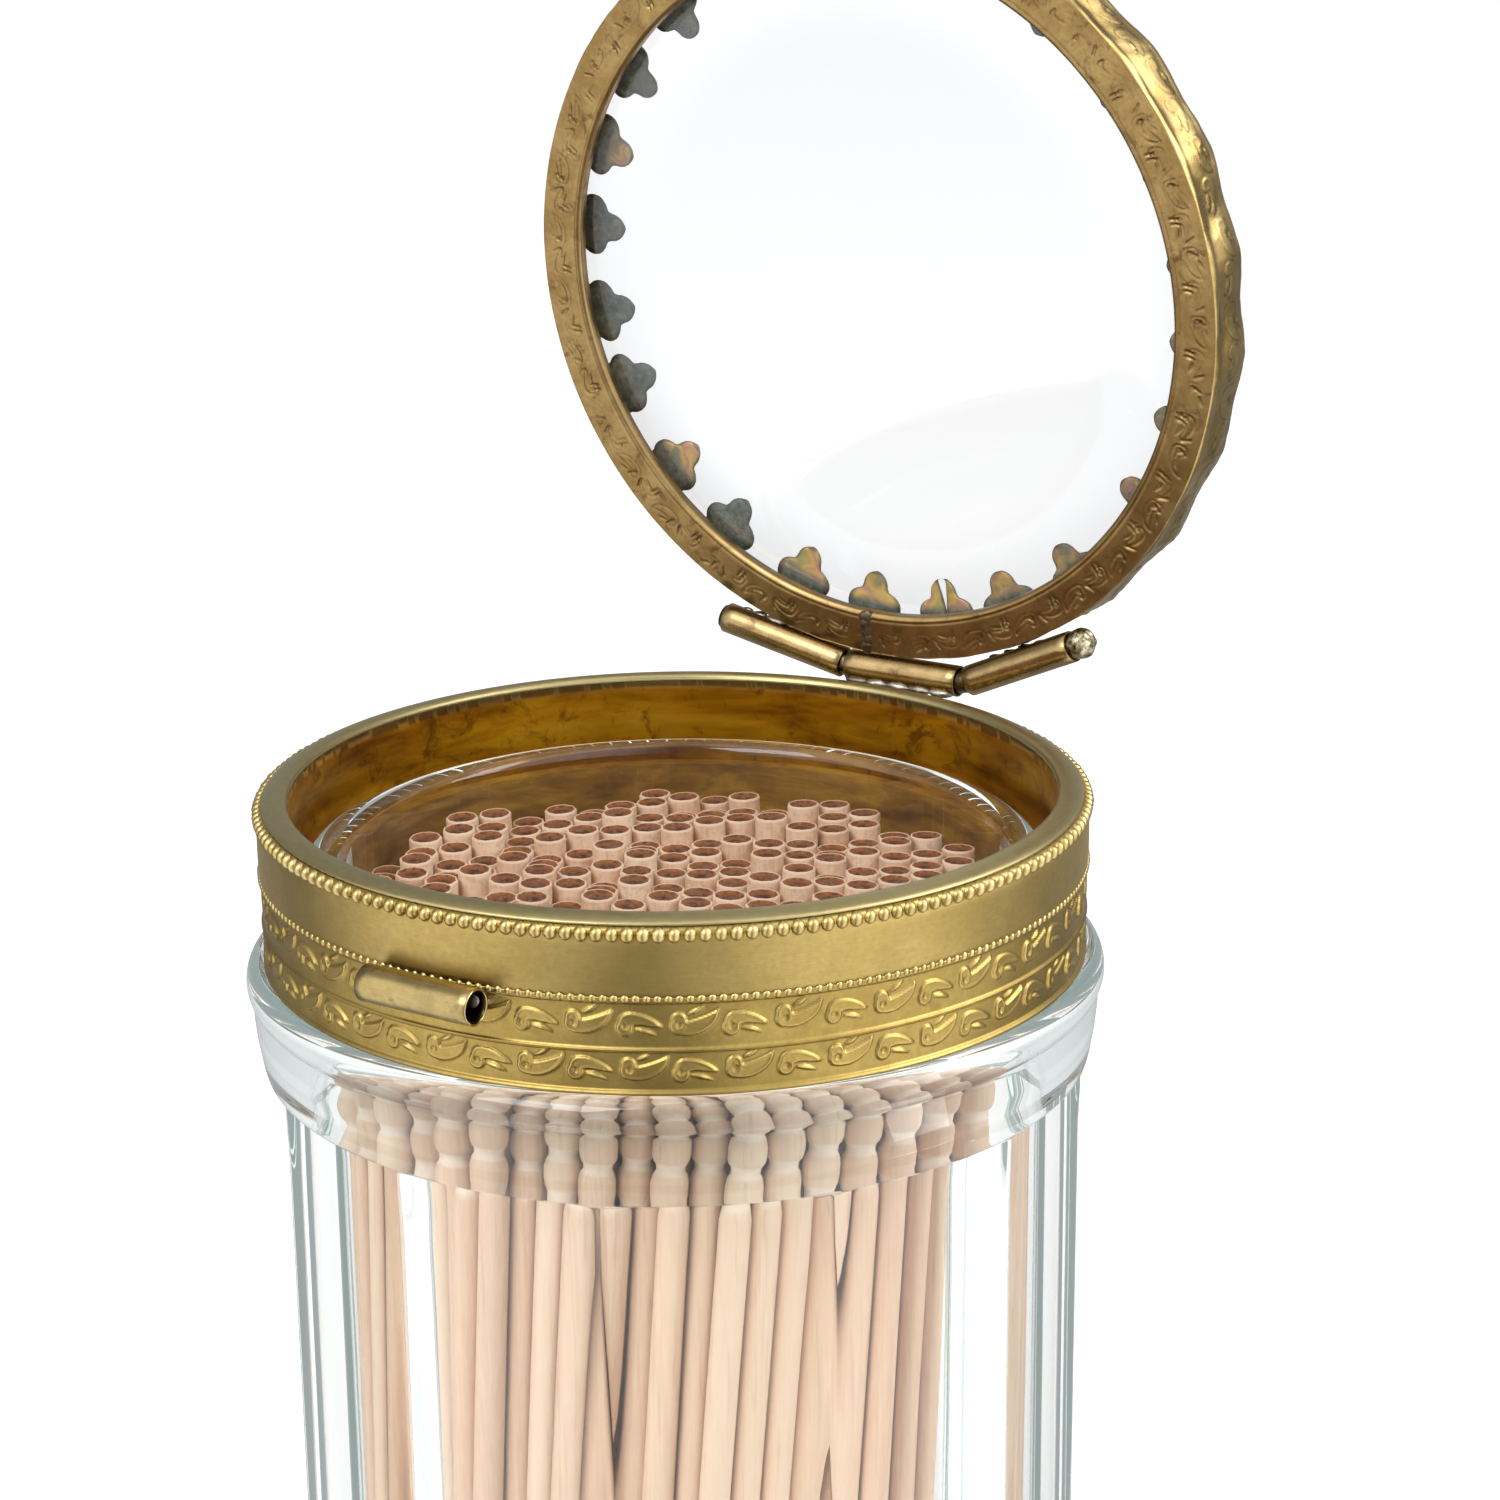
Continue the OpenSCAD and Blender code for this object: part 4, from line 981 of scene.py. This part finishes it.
def wall_points():
    """Outer wall of the lid: foot, rounded outside with chased leaves, rolled top edge and
    inside as one closed profile, flattened between the prongs."""
    angles = ring_angles(2150)
    outside = curve([(24.5, 78.15), (24.6, 78.28), (24.7, 78.6), (24.8, 79.0), (24.9, 79.55),
                     (24.97, 80.2), (25.0, 80.9), (24.94, 81.5), (24.76, 82.05), (24.5, 82.45)], 4)
    inside = [(24.34, 82.56), (24.16, 82.54), (24.05, 82.4), (24.06, 82.15), (24.3, 81.4),
              (24.4, 80.3), (24.4, 79.5), (24.25, 78.96), (24.5, 78.95)]
    profile = np.vstack([outside, inside])
    outer = np.arange(len(profile))[:, None] < len(outside)
    points = lathe(profile, angles)
    a, z = np.meshgrid(angles, profile[:, 1])
    pair = TURN * COLLAR_R / WALL_PAIRS
    body, leaflet, _, number = scrolls(a * COLLAR_R, z - 80.1, pair / 2, 0.4)
    band = smooth(78.5, 78.9, z) * smooth(81.7, 81.2, z) * outer
    worn = 0.6 + 0.4 * scatter(number, 6)
    raised = (0.5 * smooth(0.06, -0.1, body) + 0.4 * ridge(body, -0.12, 0.09)) * worn
    raised = np.maximum(raised, smooth(0.02, -0.1, leaflet)) * band
    inward = facet(angles) * np.where(outer, smooth(78.1, 79.4, z), 0.6)
    r = np.linalg.norm(points[..., :2], axis=2)
    hammered = 0.06 * ripple(points, 3.2, 40) + 0.03 * ripple(points, 1.1, 41)
    shrink = inward + 0.07 * (1 - raised) * band + (0.03 + hammered).clip(0)
    points[..., :2] *= ((r - shrink) / r)[..., None]
    # Tone: painted shade round the leaves' outline, painted highlight on the leaflets and along the raised
    # edge of the leaves
    tone = PLAIN - 0.34 * ridge(np.minimum(body, leaflet), 0.07, 0.09) * band + 0.45 * (
        smooth(0.0, -0.1, leaflet) + 0.6 * ridge(body, -0.12, 0.08) * worn) * band
    return swing(relieve(points)), {"relief": tone}


points, marks = wall_points()
solid("lid_wall", points, BODY_LID, wall_brass, ["lid_prong_wall"], wrap_rows=True,
      marks=marks, weld=False)


def prong_half_width(s):
    """Half width of a prong at s side-lobe radii from the middle of its end lobe: the end
    lobe, two side lobes and a root that widens to the wall, the widest winning."""
    end = np.sqrt(np.clip(1.05 ** 2 - s ** 2, 0, None))
    side = np.where(np.abs(s - 1.4) < 1, 1.3 + np.sqrt(np.clip(1 - (s - 1.4) ** 2, 0, None)), 0)
    root = np.where(s > -0.3, np.interp(s, [-0.3, 0.3, 0.7, 1.4, 5.1], [0.9, 1.2, 1.6, 1.95, 2.25]), 0)
    return np.maximum(np.maximum(end, side), root)


def prong_finish():
    """Patina on the prongs: dark grey-green slate speckled with verdigris, gold, copper and
    rose towards some tips, a dark line along the edge, and the wall's gold at the root."""
    f = Finish("patina", Metallic=1.0)
    cloud = f.noise(1.0, 4, 0.6, warp=0.5)
    tint = f.noise(1.9, 3, 0.55)
    slate = f.ramp(tint, (0.35, (0.075, 0.10, 0.085)), (0.5, (0.12, 0.135, 0.115)),
                   (0.65, (0.15, 0.135, 0.11)))
    glint = f.ramp(f.noise(2.2, 2, 0.5), (0.34, (0.24, 0.21, 0.12)), (0.43, (0.66, 0.43, 0.10)),
                   (0.5, (0.55, 0.28, 0.19)), (0.57, (0.66, 0.46, 0.11)), (0.68, (0.32, 0.29, 0.12)))
    warm = f.mark("tip") * (0.35 + cloud * 0.9)
    speck = f.noise(0.45, 4, 0.7)
    slate = f.blend(speck.step(0.5, 0.66) * 0.6, slate, (0.20, 0.27, 0.21))
    slate = f.blend((1 - speck).step(0.52, 0.66) * 0.6, slate, (0.055, 0.05, 0.04))
    colour = f.blend(warm.step(0.25, 0.8), slate, glint)
    colour = f.blend(f.mark("edge") * 0.85, colour, (0.035, 0.036, 0.032))
    colour = f.blend(f.mark("root"), colour, (0.44, 0.33, 0.13))
    return f.done(Base_Color=colour, Roughness=cloud * 0.25 + 0.48, Normal=f.bump(cloud, 0.05))


def prong_points():
    """Every prong: a flat oval section carried from the wall's top over the arch and along
    the glass to the tip, as wide as the outline there. A split prong is two halves. Also how
    far each point belongs to the tip, the root and the edge."""
    lobe, around = 0.875, 14
    s = np.concatenate([np.linspace(5.0, 2.6, 11)[:-1], np.linspace(2.6, 0.9, 14)[:-1],
                        0.9 - 1.95 * np.sin(np.linspace(0, math.pi / 2, 16))])
    arch = np.array([(25.0, 24.28, 81.6), (24.8, 24.27, 82.0), (24.5, 24.20, 82.35), (24.2, 24.06, 82.52),
                     (23.9, 23.86, 82.42), (23.7, 23.68, 82.26), (23.5, 23.5, 82.20), (19.0, 19.0, 82.20)])
    reach = PRONG_TIP + (s + 1.05) * lobe
    r = np.interp(-reach, -arch[:, 0], arch[:, 1])
    z = np.interp(-reach, -arch[:, 0], arch[:, 2])
    r[1:-1], z[1:-1] = (r[:-2] + 2 * r[1:-1] + r[2:]) / 4, (z[:-2] + 2 * z[1:-1] + z[2:]) / 4
    dr, dz = np.gradient(r), np.gradient(z)
    step = np.hypot(dr, dz)
    half = prong_half_width(s) * lobe
    s, r, z, half, out_r, out_z = (v[:, None] for v in (s, r, z, half, -dz / step, dr / step))
    phi = ring_angles(around)
    across = np.sign(np.cos(phi)) * np.abs(np.cos(phi)) ** 0.6
    thick = np.sign(np.sin(phi)) * np.abs(np.sin(phi)) ** 0.8 * 0.18
    grids, tips, roots, edges = [], [], [], []
    for i in range(PRONGS):
        bent = PRONG_BENT[i] if i < len(PRONG_BENT) else 2 * scatter(i, 1)
        a = PRONG_FIRST + i * TURN / PRONGS
        aside = 20 * math.radians(bent) * smooth(24.6, 21.5, r)
        lift = 0.10 * (1 + scatter(i, 3)) / 2 * smooth(22, PRONG_TIP, r)
        size = 1 + 0.06 * scatter(i, 5)
        gap = np.interp(s, [-1.05, 1.2, 5], [0.4, 0.0, 0.0]) * lobe
        for way_out in ((1, -1) if i == PRONG_SPLIT else (0,)):
            middle = way_out * (half + gap) / 2
            wide = np.maximum((half - gap) / 2, POLE) if way_out else half * size
            y = middle + wide * across
            dome = 0.12 * (1 - (y / (half + 0.3)) ** 2).clip(0) * smooth(22.4, 21.0, r)
            grids.append(stacked(*turned(r + out_r * thick, y + aside, a),
                                 z + out_z * thick + lift + dome))
            warm = 0.5 + 0.5 * scatter(i, 9) + 0.4 * math.cos(a - math.pi / 2)
            tips.append(spread(warm * smooth(2.1, 0.0, s), y))
            roots.append(spread(smooth(23.8, 24.15, r), y))
            outward = np.abs(y - middle) / np.maximum(wide, 1e-3)
            edges.append(np.maximum(smooth(0.72, 0.98, outward), smooth(-0.8, -1.0, s)))
    grids = np.array(grids)
    for end in (0, -1):
        middle = grids[:, end].mean(1, keepdims=True)
        grids[:, end] = middle + (grids[:, end] - middle) * POLE
    return swing(grids), {"tip": np.array(tips), "root": np.array(roots), "edge": np.array(edges)}


points, marks = prong_points()
solid("prongs", points, BODY_LID, prong_finish(), ["lid_prong_wall"], marks=marks)

pane = [(POLE, GLASS_Z), (8, GLASS_Z), (16, GLASS_Z), (GLASS_R - 0.1, GLASS_Z), (GLASS_R, GLASS_Z + 0.1),
        (GLASS_R, GLASS_TOP - 0.2), (GLASS_R - 0.06, GLASS_TOP - 0.06), (GLASS_R - 0.2, GLASS_TOP),
        (16, GLASS_TOP), (8, GLASS_TOP), (POLE, GLASS_TOP)]
pane = solid("lid_pane", swing(lathe(pane, ring_angles(240))), BODY_LID, lid_clear,
             ["lid_glass"])
pane.visible_shadow = False

seam = polar(23.1, SEAM, LID_Z + 0.16)
solder("seam_solder", "lid_seam_solder", BODY_LID, solder_dark, 90,
       [(seam + [0, 1.1, 0], (0.6, 0.5, 0.21)), (seam + [0.1, 0.5, 0], (0.5, 0.6, 0.2)),
        (seam, (0.55, 0.6, 0.2)), (seam + [-0.05, -0.55, 0], (0.5, 0.55, 0.2)),
        (seam + [0.04, -1.05, 0], (0.62, 0.45, 0.21))])

cement_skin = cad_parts["neck_cement"].data.materials
cement_skin.clear()
cement_skin.append(cement)


# Floor, light and camera

VIEW_TURN = math.radians(33.8)
# Height in metres that the lamps face
LAMP_AIM = 0.08


def to_frame(right, back, up):
    """A direction or place given as the camera's right, away from it and up, turned into
    the jar's own frame."""
    return np.array([*turned(right, back, VIEW_TURN), up])


def placed(name, data, right, above, back, spot):
    """A camera or lamp object whose own axes point right, above and back, at a spot in metres."""
    made = bpy.data.objects.new(name, data)
    bpy.context.scene.collection.objects.link(made)
    rows = np.column_stack([right, above, back, spot])
    made.matrix_world = Matrix([*rows.tolist(), [0, 0, 0, 1]])
    return made


def camera():
    """Camera fitted to the rims of the collar: 199.7 mm out and 63.3 mm above the collar. Its
    focal length was measured in pixels of the photo, which is 1500 wide."""
    out, high, focal, sensor = 199.69, 63.34, 3473.5 / 1500, 36.0
    pitch, yaw, roll = (math.radians(v) for v in (17.135, 1.335, -0.626))
    ahead = np.array([math.sin(yaw) * math.cos(pitch), math.cos(yaw) * math.cos(pitch),
                      -math.sin(pitch)])
    level = np.array([math.cos(yaw), -math.sin(yaw), 0.0])
    above = np.cross(level, ahead)
    right = math.cos(roll) * level + math.sin(roll) * above
    above = math.cos(roll) * above - math.sin(roll) * level
    data = bpy.data.cameras.new("view")
    data.sensor_width = sensor
    data.lens = focal * sensor
    data.clip_start, data.clip_end = 0.01, 30
    bpy.context.scene.camera = placed("view", data, to_frame(*right), to_frame(*above),
                                      -to_frame(*ahead), to_frame(0, -out, high + COLLAR_TOP) * MM)


def lamp(name, right, back, up, width, height, watts):
    """Soft box at a place given in the camera's directions, in metres, facing the collar."""
    data = bpy.data.lights.new(name, "AREA")
    data.shape, data.size, data.size_y = "RECTANGLE", width, height
    data.energy = watts
    spot = to_frame(right, back, up)
    away = spot - [0, 0, LAMP_AIM]
    away /= np.linalg.norm(away)
    side = np.cross([0, 0, 1.0], away)
    side /= np.linalg.norm(side)
    placed(name, data, side, np.cross(away, side), away, spot)


def studio_light(x, y, up):
    """How bright a mirror sees the studio in a direction (x, y, up): a soft box to the left and
    one to the right of the front, one high at the right, one overhead, and grey between them."""
    across, ahead = to_frame(1, 0, 0), to_frame(0, 1, 0)
    side = x * float(across[0]) + y * float(across[1])
    away = x * float(ahead[0]) + y * float(ahead[1])
    flat = (side * side + away * away).math("SQRT") + 0.001
    left = ((side * -0.87 - away * 0.5) / flat).step(0.7, 1.0)
    right = ((side * 0.77 - away * 0.64) / flat).step(0.6, 1.0)
    behind = (away / flat).step(0.55, 0.95)
    length = (flat * flat + up * up).math("SQRT")
    high = ((side * 0.79 + away * 0.08 + up * 0.6) / length).step(0.88, 0.965)
    return 0.34 + left * 1.4 + right * 1.5 + high * 3.6 + behind * 0.1 + up.step(0.7, 0.95) * 0.4


def surroundings():
    """White to the camera, plain grey-white light for the surfaces, and for reflections and
    refractions a white studio with greyer zones at the sides and overhead."""
    world = bpy.data.worlds.new("studio")
    world.use_nodes = True
    world.node_tree.nodes.clear()
    g = Graph(world.node_tree)
    ray = g.split(g.node("ShaderNodeTexCoord", {}, {}, "Generated"))
    across = to_frame(1, 0, 0)
    side = ray[0] * float(across[0]) + ray[1] * float(across[1])
    seen, through, mirrored = g.rays()
    glossy = mirrored * (1 - through)
    metal, plain = studio_light(*ray), 0.52
    glass = 0.92 - ray[2].step(0.3, 0.62) * 0.35 - (side * side).step(0.55, 0.95) * 0.15
    matt_or_glass = through * glass + (1 - through) * plain
    strength = seen + (1 - seen) * (glossy * metal + (1 - glossy) * matt_or_glass)
    colour = g.blend(seen, (0.985, 0.99, 1.0), (1.0, 1.0, 1.0))
    background = g.node("ShaderNodeBackground", {}, {"Color": colour, "Strength": strength})
    out = world.node_tree.nodes.new("ShaderNodeOutputWorld")
    g.put(out, [background])
    bpy.context.scene.world = world


def floor():
    """Pale floor: matt, with just enough white of its own towards the camera and glass that it
    turns white wherever the jar's shadow doesn't lie. To mirrors it shows no shadow but a
    painted glow of the studio's soft boxes, laid out by place on the floor."""
    mesh = bpy.data.meshes.new("floor")
    far = 6.0
    mesh.from_pydata([(-far, -far, 0), (far, -far, 0), (far, far, 0), (-far, far, 0)], [],
                     [(0, 1, 2, 3)])
    sheet = bpy.data.objects.new("floor", mesh)
    bpy.context.scene.collection.objects.link(sheet)
    f = Finish("floor_white", Roughness=0.9, Base_Color=(0.84, 0.84, 0.84))
    seen, through, mirrored = f.rays()
    own = (seen + through * 0.75).math("MINIMUM", 1.0) * 0.5
    glow = f.node("ShaderNodeEmission", {}, {"Color": (1, 1, 1), "Strength": own})
    both = f.node("ShaderNodeAddShader", {}, [Value(f, f.shader.outputs[0]), glow])
    # Painted light: to mirrors the floor glows with the studio's soft boxes, laid out by place on it
    spot = f.split(f.where((MM, MM, MM)))
    studio = f.node("ShaderNodeEmission", {}, {"Color": (1, 1, 1), "Strength": studio_light(*spot)})
    f.put(f.output, [f.node("ShaderNodeMixShader", {}, [mirrored * (1 - through), both, studio])])
    mesh.materials.append(f.material)


camera()
surroundings()
floor()
lamp("key", -0.45, -0.55, 0.75, 0.5, 0.5, 5.0)
lamp("right", 0.7, -0.2, 0.45, 0.3, 0.6, 2.4)
bpy.context.scene.view_settings.view_transform = "Standard"
